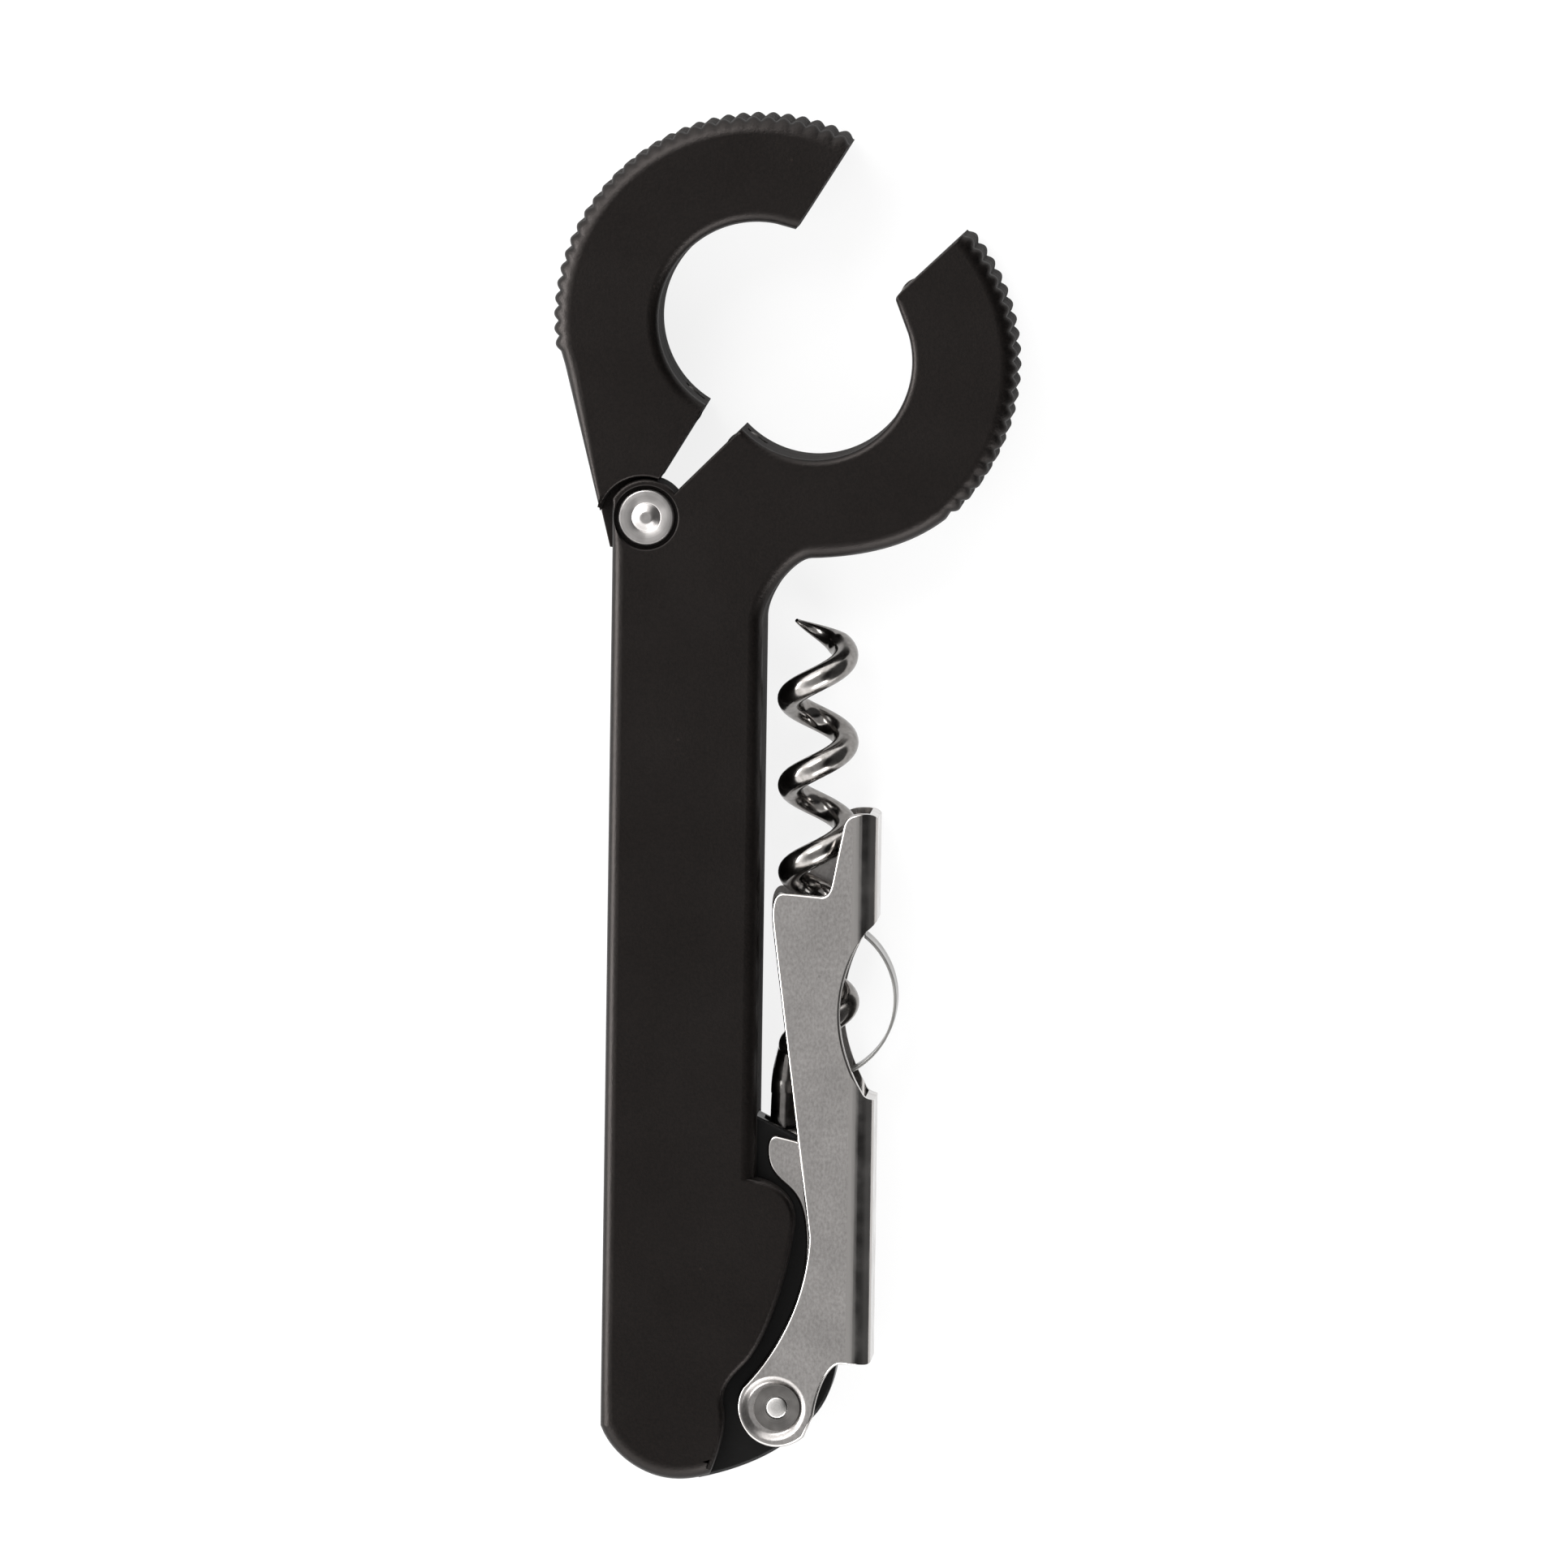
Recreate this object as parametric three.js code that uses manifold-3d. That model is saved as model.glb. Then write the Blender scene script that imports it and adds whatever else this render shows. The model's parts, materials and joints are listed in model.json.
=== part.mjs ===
// Waiter's corkscrew: a slim two-shell handle whose upper end is the fixed jaw of a foil cutter,
// a hinged jaw, a two-step lever and a folding worm.
// Millimetres, +Z up. It lies flat: +Y runs along the handle towards the jaws, +X is the side
// where the worm and the levers fold. The origin is on the handle's back face, on its centre line.

import * as THREE from 'three';
import { ParametricGeometry } from 'three/addons/geometries/ParametricGeometry.js';
import { mergeVertices } from 'three/addons/utils/BufferGeometryUtils.js';
import Module from 'manifold-3d';

const wasm = await Module();
wasm.setup();

// ---------------------------------------------------------------- driving dimensions

const thickness = 14;
const midZ = thickness / 2;
const gap = 0.3; // between pieces that touch
const running = 0.15; // radial clearance round a shaft

const handleHalfWidth = 8.92;
const handleBottomY = -68.8;
const handleCornerY = -62.6; // where the left edge starts to turn into the bottom

// Jaws: both are C-shaped, and share one pivot.
const pivot = { x: -5, y: 44.3 };
const earRadius = 4.5;
const eyeRadius = 4.4;
const eyeHalfThickness = 2.2;
const shoulderRadius = 5.25; // the moving jaw's full thickness stops short of the ears
const toeReach = 3; // the moving jaw's stop runs this far past the tail's tangent point
const toeAngle = -110;
const eyePocketRadius = 5.95;
const boreRadius = 11.5;
const knurlDepth = 0.5;
const knurlPitch = 4.38; // degrees
const tailInset = 0.4; // the tail's line lies inside the knurl's crests
const fixedJaw = {
  centre: { x: 14.38, y: 62.93 },
  outerCentre: { x: 14.38, y: 62.33 },
  outerRadius: 23.63,
  tipFace: { angle: 43.9, offset: 1.09 },
  baseFace: { angle: 45.1, offset: 0.365 },
  knurlTeeth: 20,
};
const movingJaw = {
  centre: { x: 7.65, y: 67.59 },
  outerCentre: { x: 7.6, y: 67.75 },
  outerRadius: 23.5,
  tipFace: { angle: 60.1, offset: -1.8 },
  baseFace: { angle: 58.96, offset: -1.07 },
  knurlTeeth: 29,
};
const rivetHeadRadius = 3.33;
const rivetShankRadius = 1.8;
const rivetInset = 0.7; // heads stay this far below the faces
const rivetHeadHeight = 1;

const cutterRadius = 2.45;
const cutterThickness = 1;
const cutterAxleRadius = 0.6;
const cutterAxleLength = 5.6;
const cutters = [
  { name: 'fixed_tip', jaw: 'fixed', x: 26.55, y: 70.2 },
  { name: 'fixed_base', jaw: 'fixed', x: 6.26, y: 51.83 },
  { name: 'moving_tip', jaw: 'moving', x: 10.79, y: 81.08 },
  { name: 'moving_base', jaw: 'moving', x: -1.23, y: 57.09 },
];

// Screws that hold the shells together from the back.
const screwShankRadius = 1.1;
const screwHeadRadius = 2.2;
const screwHeadLow = 0.4;
const screwHeadHeight = 1.3;
const screwTipZ = 11.4;
const screwBossRadius = 2.4;
const screwPlaceRadius = 17.6; // from the jaw's centre
const handleScrewRows = [20, -15, -50];

// Core frame: the black tongue that the worm and the levers hinge on.
const frameThickness = 7.4;
const frameHalfWidth = 5.5;
const frameTopY = 25;
const knuckleSlot = 4.4;
const wormHinge = { x: 14.2, y: -31 };
const leverPivot = { x: 11.77, y: -60.13 };
const pinRadius = 1.5;

// Levers: U-shaped channels of sheet steel, one nested in the other.
const outerPlate = 1;
const outerWidth = 12;
const outerBossRadius = 4.65;
const outerWebX = 22.65;
const innerPlate = 0.8;
const innerWidth = 9.5;
const innerBossRadius = 4.75;
const innerWebX = 21.3;
const dishRadius = 3.7;
const dishDepth = 0.55;
const washerRadius = 2.73;
const washerThickness = 0.3;
const pinEndRadius = 1.23;

// Worm: a right-handed helix of round wire.
const wireRadius = 1.5;
const helixRadius = 3.27;
const helixPitch = 10.2;
const helixLean = 1; // degrees, to the handle's side
const wormLength = 63; // hinge to tip
const wormAxisOffset = 1.9; // from the hinge to the helix axis
const helixTipAngle = 232;
const helixTurns = 4.9;
const taperShare = 0.065; // of the helix, narrowing to the tip
const knuckleRadius = 3.9;
const knuckleThickness = 3.6;

// Bow strip: a thin spring bridging the cap lifter's gap.
const bow = { x: 15.3, y: -12.2, radius: 9.55, thickness: 0.35, width: 6 };

// ---------------------------------------------------------------- helpers

const radians = THREE.MathUtils.degToRad;

function polar(centre, radius, degrees) {
  const angle = radians(degrees);
  return { x: centre.x + radius * Math.cos(angle), y: centre.y + radius * Math.sin(angle) };
}

// A point on a jaw's mating face: the face lies along a ray from the pivot at face.angle,
// shifted sideways by face.offset, and the point is where it crosses a circle.
function faceMeets(face, centre, radius, side) {
  const direction = polar({ x: 0, y: 0 }, 1, face.angle);
  const start = polar(pivot, face.offset, face.angle - 90);
  const toCentre = { x: centre.x - start.x, y: centre.y - start.y };
  const along = toCentre.x * direction.x + toCentre.y * direction.y;
  const across = toCentre.x * direction.y - toCentre.y * direction.x;
  const reach = along + side * Math.sqrt(radius * radius - across * across);
  return { x: start.x + reach * direction.x, y: start.y + reach * direction.y };
}

function angleFrom(centre, point) {
  return THREE.MathUtils.radToDeg(Math.atan2(point.y - centre.y, point.x - centre.x));
}

function arc(shape, centre, radius, fromDegrees, toDegrees) {
  const clockwise = toDegrees < fromDegrees;
  shape.absarc(centre.x, centre.y, radius, radians(fromDegrees), radians(toDegrees), clockwise);
}

function line(shape, ...points) {
  for (const point of points) {
    shape.lineTo(point.x ?? point[0], point.y ?? point[1]);
  }
}

// Grip teeth along an outer arc.
function knurl(shape, { outerCentre, outerRadius, knurlTeeth }, startDegrees, step) {
  const root = outerRadius - knurlDepth / 2;
  for (let tooth = 0; tooth < knurlTeeth; tooth += 1) {
    const start = startDegrees + step * tooth;
    line(shape, polar(outerCentre, root, start), polar(outerCentre, root + knurlDepth, start + step / 2));
  }
  line(shape, polar(outerCentre, root, startDegrees + step * knurlTeeth));
}

function polygon(points) {
  return new THREE.Shape(points.map(([x, y]) => new THREE.Vector2(x, y)));
}

function solid(geometry) {
  const bare = geometry.index ? geometry.toNonIndexed() : geometry.clone();
  bare.deleteAttribute('normal');
  bare.deleteAttribute('uv');
  const merged = mergeVertices(bare, 1e-4);
  return new wasm.Manifold(new wasm.Mesh({
    numProp: 3,
    vertProperties: new Float32Array(merged.attributes.position.array),
    triVerts: new Uint32Array(merged.index.array),
  }));
}

function slab(shape, low, high, curveSegments = 8) {
  const options = { depth: high - low, bevelEnabled: false, curveSegments };
  return solid(new THREE.ExtrudeGeometry(shape, options).translate(0, 0, low));
}

function disc(centre, radius, low, high, segments = 20) {
  const geometry = new THREE.CylinderGeometry(radius, radius, high - low, segments);
  geometry.rotateX(Math.PI / 2);
  return solid(geometry.translate(centre.x, centre.y, (low + high) / 2));
}

function box(low, high) {
  const size = low.map((value, axis) => high[axis] - value);
  const geometry = new THREE.BoxGeometry(...size);
  return solid(geometry.translate(...low.map((value, axis) => value + size[axis] / 2)));
}

// A turned piece: profile is a list of [radius, z] that starts and ends on the axis.
function turned(centre, profile, segments = 20) {
  const points = profile.map(([radius, z]) => new THREE.Vector2(radius, z));
  const geometry = new THREE.LatheGeometry(points, segments);
  geometry.rotateX(Math.PI / 2);
  return solid(geometry.translate(centre.x, centre.y, 0));
}

function mesh(name, body, material) {
  const { vertProperties, triVerts } = body.getMesh();
  const geometry = new THREE.BufferGeometry();
  geometry.setAttribute('position', new THREE.BufferAttribute(new Float32Array(vertProperties), 3));
  geometry.setIndex(new THREE.BufferAttribute(new Uint32Array(triVerts), 1));
  geometry.computeVertexNormals();
  const result = new THREE.Mesh(geometry, material);
  result.name = name;
  return result;
}

function finish(color, roughness, metalness) {
  return new THREE.MeshStandardMaterial({ color, roughness, metalness });
}

const softBlack = finish(0x262220, 0.62, 0);
const innerBlack = finish(0x161514, 0.5, 0);
const satinSteel = finish(0xa39d98, 0.32, 1);
const brightSteel = finish(0xc9c6c2, 0.2, 1);
const darkSteel = finish(0x5f5a57, 0.35, 1);
const wormSteel = finish(0x6d6864, 0.14, 1);

// ---------------------------------------------------------------- shells

const halves = {
  front: (body) => body.intersect(box([-60, -90, midZ + gap / 2], [60, 110, thickness + 1])),
  rear: (body) => body.intersect(box([-60, -90, -1], [60, 110, midZ - gap / 2])),
};

function screwHoles(body, centre) {
  return body
    .subtract(disc(centre, screwShankRadius + running, -1, screwTipZ + gap))
    .subtract(disc(centre, screwHeadRadius + gap, -1, screwHeadLow + screwHeadHeight + gap));
}

function cutterPockets(body, jaw) {
  let result = body;
  for (const cutter of cutters.filter((item) => item.jaw === jaw)) {
    const halfSlot = cutterThickness / 2 + gap;
    const halfHole = cutterAxleLength / 2 + gap;
    result = result
      .subtract(disc(cutter, cutterRadius + gap, midZ - halfSlot, midZ + halfSlot))
      .subtract(disc(cutter, cutterAxleRadius + running, midZ - halfHole, midZ + halfHole, 12));
  }
  return result;
}

function rivetHole(body) {
  const headLow = thickness - rivetInset - rivetHeadHeight - gap;
  return body
    .subtract(disc(pivot, rivetShankRadius + running, -1, thickness + 1))
    .subtract(disc(pivot, rivetHeadRadius + 0.45, headLow, thickness + 1, 32))
    .subtract(disc(pivot, rivetHeadRadius + 0.45, -1, thickness - headLow, 32));
}

function handleOutline() {
  const { centre, outerCentre, outerRadius, tipFace, baseFace, knurlTeeth } = fixedJaw;
  const earReach = handleHalfWidth + pivot.x;
  const earStart = 180 - THREE.MathUtils.radToDeg(Math.acos(earReach / earRadius));
  const baseLow = faceMeets(baseFace, pivot, earRadius, 1);
  const baseHigh = faceMeets(baseFace, centre, boreRadius, -1);
  const tipHigh = faceMeets(tipFace, outerCentre, outerRadius, 1);
  const knurlStart = angleFrom(outerCentre, tipHigh) - 0.6;
  const shape = new THREE.Shape();
  shape.moveTo(-handleHalfWidth, handleCornerY);
  line(shape, polar(pivot, earRadius, earStart));
  arc(shape, pivot, earRadius, earStart, angleFrom(pivot, baseLow));
  line(shape, baseHigh);
  arc(shape, centre, boreRadius, angleFrom(centre, baseHigh), 17);
  line(shape, [23.75, 70.5], tipHigh);
  knurl(shape, fixedJaw, knurlStart, -knurlPitch);
  line(shape, polar(outerCentre, outerRadius, knurlStart - knurlPitch * knurlTeeth - 1));
  shape.bezierCurveTo(26.6, 41.9, 21.8, 40.1, 14.4, 39.8);
  shape.bezierCurveTo(12.4, 39.7, 9, 35.2, handleHalfWidth, 32.4);
  line(shape, [handleHalfWidth, -33.1]);
  shape.bezierCurveTo(11.4, -33.6, 13.9, -35.4, 13.6, -38.4);
  shape.bezierCurveTo(13.2, -42.5, 11.3, -50.6, 8.5, -54.4);
  shape.bezierCurveTo(7.4, -55.8, 5.2, -57.2, 5.4, -60);
  shape.bezierCurveTo(6.1, -62.6, 4.9, -66, 4, -68.15);
  shape.bezierCurveTo(3, -68.5, 1.6, handleBottomY, 0.25, handleBottomY);
  shape.bezierCurveTo(-4.2, handleBottomY, -7.9, -65.6, -handleHalfWidth, handleCornerY);
  return shape;
}

// The space inside the shells that the core frame sits in. It is open to the lower right.
function framePocket() {
  const side = frameHalfWidth + gap;
  return polygon([
    [-side, frameTopY + gap], [side, frameTopY + gap], [side, -24.2],
    [30, -36], [30, -80], [2.2, -80], [1.6, -65.7], [-side, -60.1],
  ]);
}

const fixedScrew = polar(fixedJaw.centre, screwPlaceRadius, -15);
const handleScrews = handleScrewRows.map((y) => ({ x: 0, y }));
const movingScrews = [115, 205].map((angle) => polar(movingJaw.centre, screwPlaceRadius, angle));

function handleShell(half) {
  const halfFrame = frameThickness / 2 + gap;
  let body = slab(handleOutline(), 0, thickness)
    .subtract(slab(framePocket(), midZ - halfFrame, midZ + halfFrame))
    .subtract(disc(pivot, eyePocketRadius, midZ - eyeHalfThickness - gap,
      midZ + eyeHalfThickness + gap, 40));
  for (const screw of handleScrews) {
    body = body.add(disc(screw, screwBossRadius, 2, thickness - 2));
  }
  for (const screw of [...handleScrews, fixedScrew]) {
    body = screwHoles(body, screw);
  }
  return halves[half](rivetHole(cutterPockets(body, 'fixed')));
}

function movingJawOutline() {
  const { centre, outerCentre, outerRadius, tipFace, baseFace, knurlTeeth } = movingJaw;
  const tailRadius = outerRadius - tailInset;
  const tailBend = 5.05; // the tail's line clears the pivot by this
  const span = Math.hypot(outerCentre.x - pivot.x, outerCentre.y - pivot.y);
  const lean = THREE.MathUtils.radToDeg(Math.asin((tailRadius - tailBend) / span));
  const tailNormal = angleFrom(pivot, outerCentre) + lean + 90;
  const toe = polar(polar(pivot, tailBend, tailNormal), toeReach, tailNormal + 90);
  const baseLow = faceMeets(baseFace, pivot, eyeRadius, 1);
  const baseHigh = faceMeets(baseFace, centre, boreRadius, -1);
  const tipHigh = faceMeets(tipFace, outerCentre, outerRadius, 1);
  const knurlEnd = angleFrom(outerCentre, tipHigh) + 0.6;
  const shape = new THREE.Shape();
  shape.moveTo(toe.x, toe.y);
  line(shape, polar(outerCentre, tailRadius, tailNormal));
  knurl(shape, movingJaw, knurlEnd + knurlPitch * knurlTeeth, -knurlPitch);
  line(shape, tipHigh, [12, 78.3]);
  arc(shape, centre, boreRadius, 79.6, angleFrom(centre, baseHigh) + 360);
  line(shape, baseLow);
  arc(shape, pivot, eyeRadius, angleFrom(pivot, baseLow), toeAngle);
  return shape;
}

// Above and below the eye the jaw stops at its shoulder, so only the eye passes between the ears.
function shoulderCut(low, high) {
  const reach = 40;
  const rays = [60, 0, -90, -172].map((angle) => polar(pivot, reach, angle));
  const sector = polygon([pivot, ...rays].map(({ x, y }) => [x, y]));
  return disc(pivot, shoulderRadius, low, high, 40).add(slab(sector, low, high));
}

function movingShell(half) {
  let body = slab(movingJawOutline(), 0, thickness)
    .subtract(shoulderCut(midZ + eyeHalfThickness, thickness + 1))
    .subtract(shoulderCut(-1, midZ - eyeHalfThickness))
    .subtract(disc(pivot, rivetShankRadius + running, -1, thickness + 1));
  for (const screw of movingScrews) {
    body = screwHoles(body, screw);
  }
  return halves[half](cutterPockets(body, 'moving'));
}

// ---------------------------------------------------------------- rivet, cutters and screws

function jawRivet() {
  const top = thickness - rivetInset;
  const low = rivetInset;
  return turned(pivot, [
    [0, low - 0.4], [0.75, low - 0.4], [1.6, low], [rivetHeadRadius - 0.2, low],
    [rivetHeadRadius, low + 0.2], [rivetHeadRadius, low + rivetHeadHeight],
    [rivetShankRadius, low + rivetHeadHeight], [rivetShankRadius, top - rivetHeadHeight],
    [rivetHeadRadius, top - rivetHeadHeight], [rivetHeadRadius, top - 0.2],
    [rivetHeadRadius - 0.2, top], [1.6, top], [0.75, top + 0.4], [0, top + 0.4],
  ], 24);
}

function cutterWheel(cutter) {
  const half = cutterThickness / 2;
  return turned(cutter, [
    [0, midZ - half], [cutterRadius - half, midZ - half], [cutterRadius, midZ],
    [cutterRadius - half, midZ + half], [0, midZ + half],
  ]).subtract(disc(cutter, cutterAxleRadius + running, 0, thickness, 12));
}

function cutterAxle(cutter) {
  return disc(cutter, cutterAxleRadius, midZ - cutterAxleLength / 2, midZ + cutterAxleLength / 2, 12);
}

function screw(centre) {
  const headTop = screwHeadLow + screwHeadHeight;
  const slot = box([centre.x - 3, centre.y - 0.3, 0], [centre.x + 3, centre.y + 0.3, 0.9]);
  const crossSlot = box([centre.x - 0.3, centre.y - 3, 0], [centre.x + 0.3, centre.y + 3, 0.9]);
  const limit = disc(centre, 1.3, 0, 1.2, 12);
  return turned(centre, [
    [0, screwHeadLow], [screwHeadRadius - 0.3, screwHeadLow], [screwHeadRadius, screwHeadLow + 0.3],
    [screwHeadRadius, headTop], [screwShankRadius, headTop], [screwShankRadius, screwTipZ - 1],
    [0.3, screwTipZ], [0, screwTipZ],
  ], 12).subtract(slot.add(crossSlot).intersect(limit));
}

// ---------------------------------------------------------------- core frame

function frameOutline() {
  const shape = new THREE.Shape();
  shape.moveTo(-frameHalfWidth, frameTopY);
  line(shape, [frameHalfWidth, frameTopY], [frameHalfWidth, -24.35], [13.2, -28.1]);
  shape.bezierCurveTo(16.5, -29.3, 18.6, -30.7, 18.8, -34.7);
  line(shape, [18.9, -50]);
  shape.bezierCurveTo(18.9, -54.5, 18.6, -58.6, 15.9, -61.5);
  shape.bezierCurveTo(13.2, -65.2, 8.2, -67.6, 2.6, handleBottomY);
  line(shape, [1.9, -65.5], [-frameHalfWidth, -60]);
  return shape;
}

function coreFrame() {
  const low = midZ - frameThickness / 2;
  const slot = polygon([[9.6, -20], [25, -20], [25, -35.6], [9.6, -35.6]]);
  let body = slab(frameOutline(), low, low + frameThickness)
    .subtract(slab(slot, midZ - knuckleSlot / 2, midZ + knuckleSlot / 2))
    .subtract(disc(wormHinge, pinRadius + running, 0, thickness))
    .subtract(disc(leverPivot, pinRadius + running, 0, thickness));
  for (const hole of handleScrews) {
    body = body.subtract(disc(hole, screwBossRadius + gap, 0, thickness));
  }
  return body;
}

// ---------------------------------------------------------------- levers

// The front plate has a straight-sided notch at the top, and the rear one a wide curve.
function outerLeverOutline(plate) {
  const bossStart = 149.5;
  const bossEnd = -48;
  const rear = plate === 'rear';
  const edgeX = rear ? 10 : 10.5;
  const shape = new THREE.Shape();
  const start = polar(leverPivot, outerBossRadius, bossStart);
  shape.moveTo(start.x, start.y);
  shape.bezierCurveTo(11.2, -54.2, 15, -48, 15.25, -40);
  line(shape, [edgeX, -3.6]);
  shape.bezierCurveTo(edgeX - 0.3, -1.2, edgeX, 0.5, edgeX + 1.1, 0.5);
  if (rear) {
    shape.bezierCurveTo(14.2, 0.4, 14.9, 3.4, 17, 7.4);
    shape.bezierCurveTo(18.2, 9.8, 19.4, 9.9, 21, 9.9);
  } else {
    line(shape, [15.9, 0.15]);
    shape.quadraticCurveTo(17, 0, 17.3, 1.5);
    line(shape, [18.6, 8.3]);
    shape.bezierCurveTo(18.9, 9.8, 20, 9.9, 21, 9.9);
  }
  shape.quadraticCurveTo(outerWebX, 9.9, outerWebX, 8.4);
  line(shape, [outerWebX, -1.8]);
  shape.quadraticCurveTo(outerWebX, -3, 21.5, -3.9);
  shape.quadraticCurveTo(15.7, -13.2, 21.2, -22.8);
  shape.quadraticCurveTo(21.5, -23.7, 22.5, -23.8);
  line(shape, [22.45, -54.9], [19.2, -54.9]);
  shape.bezierCurveTo(17.5, -54.9, 16.3, -59, 16.1, -61);
  line(shape, polar(leverPivot, outerBossRadius, bossEnd));
  arc(shape, leverPivot, outerBossRadius, bossEnd, bossStart - 360);
  return shape;
}

function innerLeverOutline() {
  const bossStart = 149.5;
  const bossEnd = -48;
  const shape = new THREE.Shape();
  const start = polar(leverPivot, innerBossRadius, bossStart);
  shape.moveTo(start.x, start.y);
  shape.bezierCurveTo(11, -54.1, 14.7, -48, 14.9, -41);
  shape.bezierCurveTo(14.7, -36, 13.6, -35, 12, -33.7);
  shape.bezierCurveTo(10.6, -32.5, 10.1, -31, 10.2, -29.4);
  shape.quadraticCurveTo(10.4, -28, 11.4, -28.25);
  line(shape, [16.9, -29.5], [18.2, -26.6], [innerWebX, -26.6], [innerWebX, -54.4], [19.4, -54.4]);
  shape.bezierCurveTo(17.7, -54.6, 16.4, -58.8, 16, -61);
  line(shape, polar(leverPivot, innerBossRadius, bossEnd));
  arc(shape, leverPivot, innerBossRadius, bossEnd, bossStart - 360);
  return shape;
}

// Two plates joined along the right by a web.
function channel(frontOutline, rearOutline, width, plate, webX) {
  const low = midZ - width / 2;
  const inside = box([0, -70, low + plate], [webX - plate, 20, low + width - plate]);
  return slab(frontOutline, midZ, low + width, 6)
    .add(slab(rearOutline, low, midZ, 6))
    .subtract(inside)
    .subtract(disc(leverPivot, pinRadius + running, 0, thickness));
}

function outerLever() {
  const top = midZ + outerWidth / 2;
  const floor = top - dishDepth;
  const dish = turned(leverPivot, [
    [0, floor], [washerRadius + 0.2, floor], [dishRadius, top], [dishRadius, top + 1], [0, top + 1],
  ], 32);
  const rearDish = turned(leverPivot, [
    [0, thickness - top - 1], [dishRadius, thickness - top - 1], [dishRadius, thickness - top],
    [washerRadius + 0.2, thickness - floor], [0, thickness - floor],
  ], 32);
  return channel(
    outerLeverOutline('front'), outerLeverOutline('rear'), outerWidth, outerPlate, outerWebX,
  ).subtract(dish).subtract(rearDish);
}

function innerLever() {
  return channel(innerLeverOutline(), innerLeverOutline(), innerWidth, innerPlate, innerWebX);
}

function leverPin() {
  const reach = outerWidth / 2 - 0.05;
  const shoulder = outerWidth / 2 - outerPlate + 0.1;
  return turned(leverPivot, [
    [0, midZ - reach], [pinEndRadius, midZ - reach], [pinEndRadius, midZ - shoulder],
    [pinRadius, midZ - shoulder], [pinRadius, midZ + shoulder], [pinEndRadius, midZ + shoulder],
    [pinEndRadius, midZ + reach], [0, midZ + reach],
  ]);
}

function washer(side) {
  const near = outerWidth / 2 - dishDepth + 0.05;
  const far = near + washerThickness;
  const low = side > 0 ? midZ + near : midZ - far;
  const high = low + washerThickness;
  return disc(leverPivot, washerRadius, low, high, 28)
    .subtract(disc(leverPivot, pinEndRadius + 0.12, low - 1, high + 1, 20));
}

function bowStrip() {
  const inner = bow.radius - bow.thickness / 2;
  const outer = bow.radius + bow.thickness / 2;
  const tabX = outerWebX - outerPlate - 0.15;
  const shape = new THREE.Shape();
  const start = polar(bow, outer, -62);
  shape.moveTo(start.x, start.y);
  arc(shape, bow, outer, -62, 52);
  line(shape, [tabX, -2.6], [tabX, 4.5], [tabX - bow.thickness, 4.5], [tabX - bow.thickness, -2.7]);
  arc(shape, bow, inner, 51.4, -62);
  return slab(shape, midZ - bow.width / 2, midZ + bow.width / 2);
}

// ---------------------------------------------------------------- worm

// The wire's centre line in the worm's own frame: the hinge is the origin, +Y runs to the tip.
class WormCurve extends THREE.Curve {
  getPoint(t, target = new THREE.Vector3()) {
    const angle = helixTipAngle - helixTurns * 360 * (1 - t);
    const y = wormLength - helixPitch * (helixTipAngle - angle) / 360;
    const turn = radians(angle);
    return target.set(
      wormAxisOffset + helixRadius * Math.sin(turn), y, helixRadius * Math.cos(turn),
    );
  }
}

// Round wire along a path: it starts flat inside the knuckle and narrows to a point at the tip.
function wireAlong(path, steps, sides) {
  const tipRadius = 0.3;
  const axis = new THREE.Vector3(0, 1, 0);
  return new ParametricGeometry((u, v, target) => {
    const step = Math.round(v * steps);
    const taper = Math.min(1, tipRadius / wireRadius + (1 - v) / taperShare);
    const radius = step === 0 || step === steps ? 0 : wireRadius * taper;
    const tangent = path.getTangentAt(v);
    const across = new THREE.Vector3().crossVectors(axis, tangent).normalize();
    const rise = new THREE.Vector3().crossVectors(tangent, across);
    const turn = 2 * Math.PI * u;
    target.copy(path.getPointAt(v))
      .addScaledVector(across, radius * Math.cos(turn))
      .addScaledVector(rise, radius * Math.sin(turn));
  }, sides, steps);
}

function worm() {
  const curve = new WormCurve();
  const first = curve.getPoint(0);
  const shank = [[first.x - 0.9, first.y - 5.5, 0], [first.x - 0.7, first.y - 2.4, first.z / 2]];
  const path = new THREE.CatmullRomCurve3([
    ...shank.map((point) => new THREE.Vector3(...point)), ...curve.getPoints(90),
  ]);
  const wire = solid(wireAlong(path, 110, 10));

  const paddle = new THREE.Shape();
  const origin = { x: 0, y: 0 };
  arc(paddle, origin, knuckleRadius, 150, 400);
  paddle.bezierCurveTo(1.6, 5.4, first.x + wireRadius, 6, first.x + wireRadius - 0.3, first.y - 3);
  line(paddle, [first.x - wireRadius - 0.9, first.y - 3]);
  const knuckle = slab(paddle, -knuckleThickness / 2, knuckleThickness / 2);

  return wire.add(knuckle).subtract(disc(origin, pinRadius + running, -5, 5));
}

function placedWorm() {
  return worm().rotate([0, 0, helixLean]).translate([wormHinge.x, wormHinge.y, midZ]);
}

function wormPin() {
  const half = frameThickness / 2 - 0.05;
  return disc(wormHinge, pinRadius, midZ - half, midZ + half);
}

// ---------------------------------------------------------------- assembly

const handle = new THREE.Group();
handle.add(mesh('handle_front_shell', handleShell('front'), softBlack));
handle.add(mesh('handle_rear_shell', handleShell('rear'), softBlack));
handle.add(mesh('core_frame', coreFrame(), innerBlack));
handle.add(mesh('jaw_rivet', jawRivet(), brightSteel));
handle.add(mesh('lever_pin', leverPin(), brightSteel));
handle.add(mesh('worm_pin', wormPin(), darkSteel));
[...handleScrews, fixedScrew].forEach((place, index) => {
  handle.add(mesh(`handle_screw_${index + 1}`, screw(place), darkSteel));
});

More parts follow.
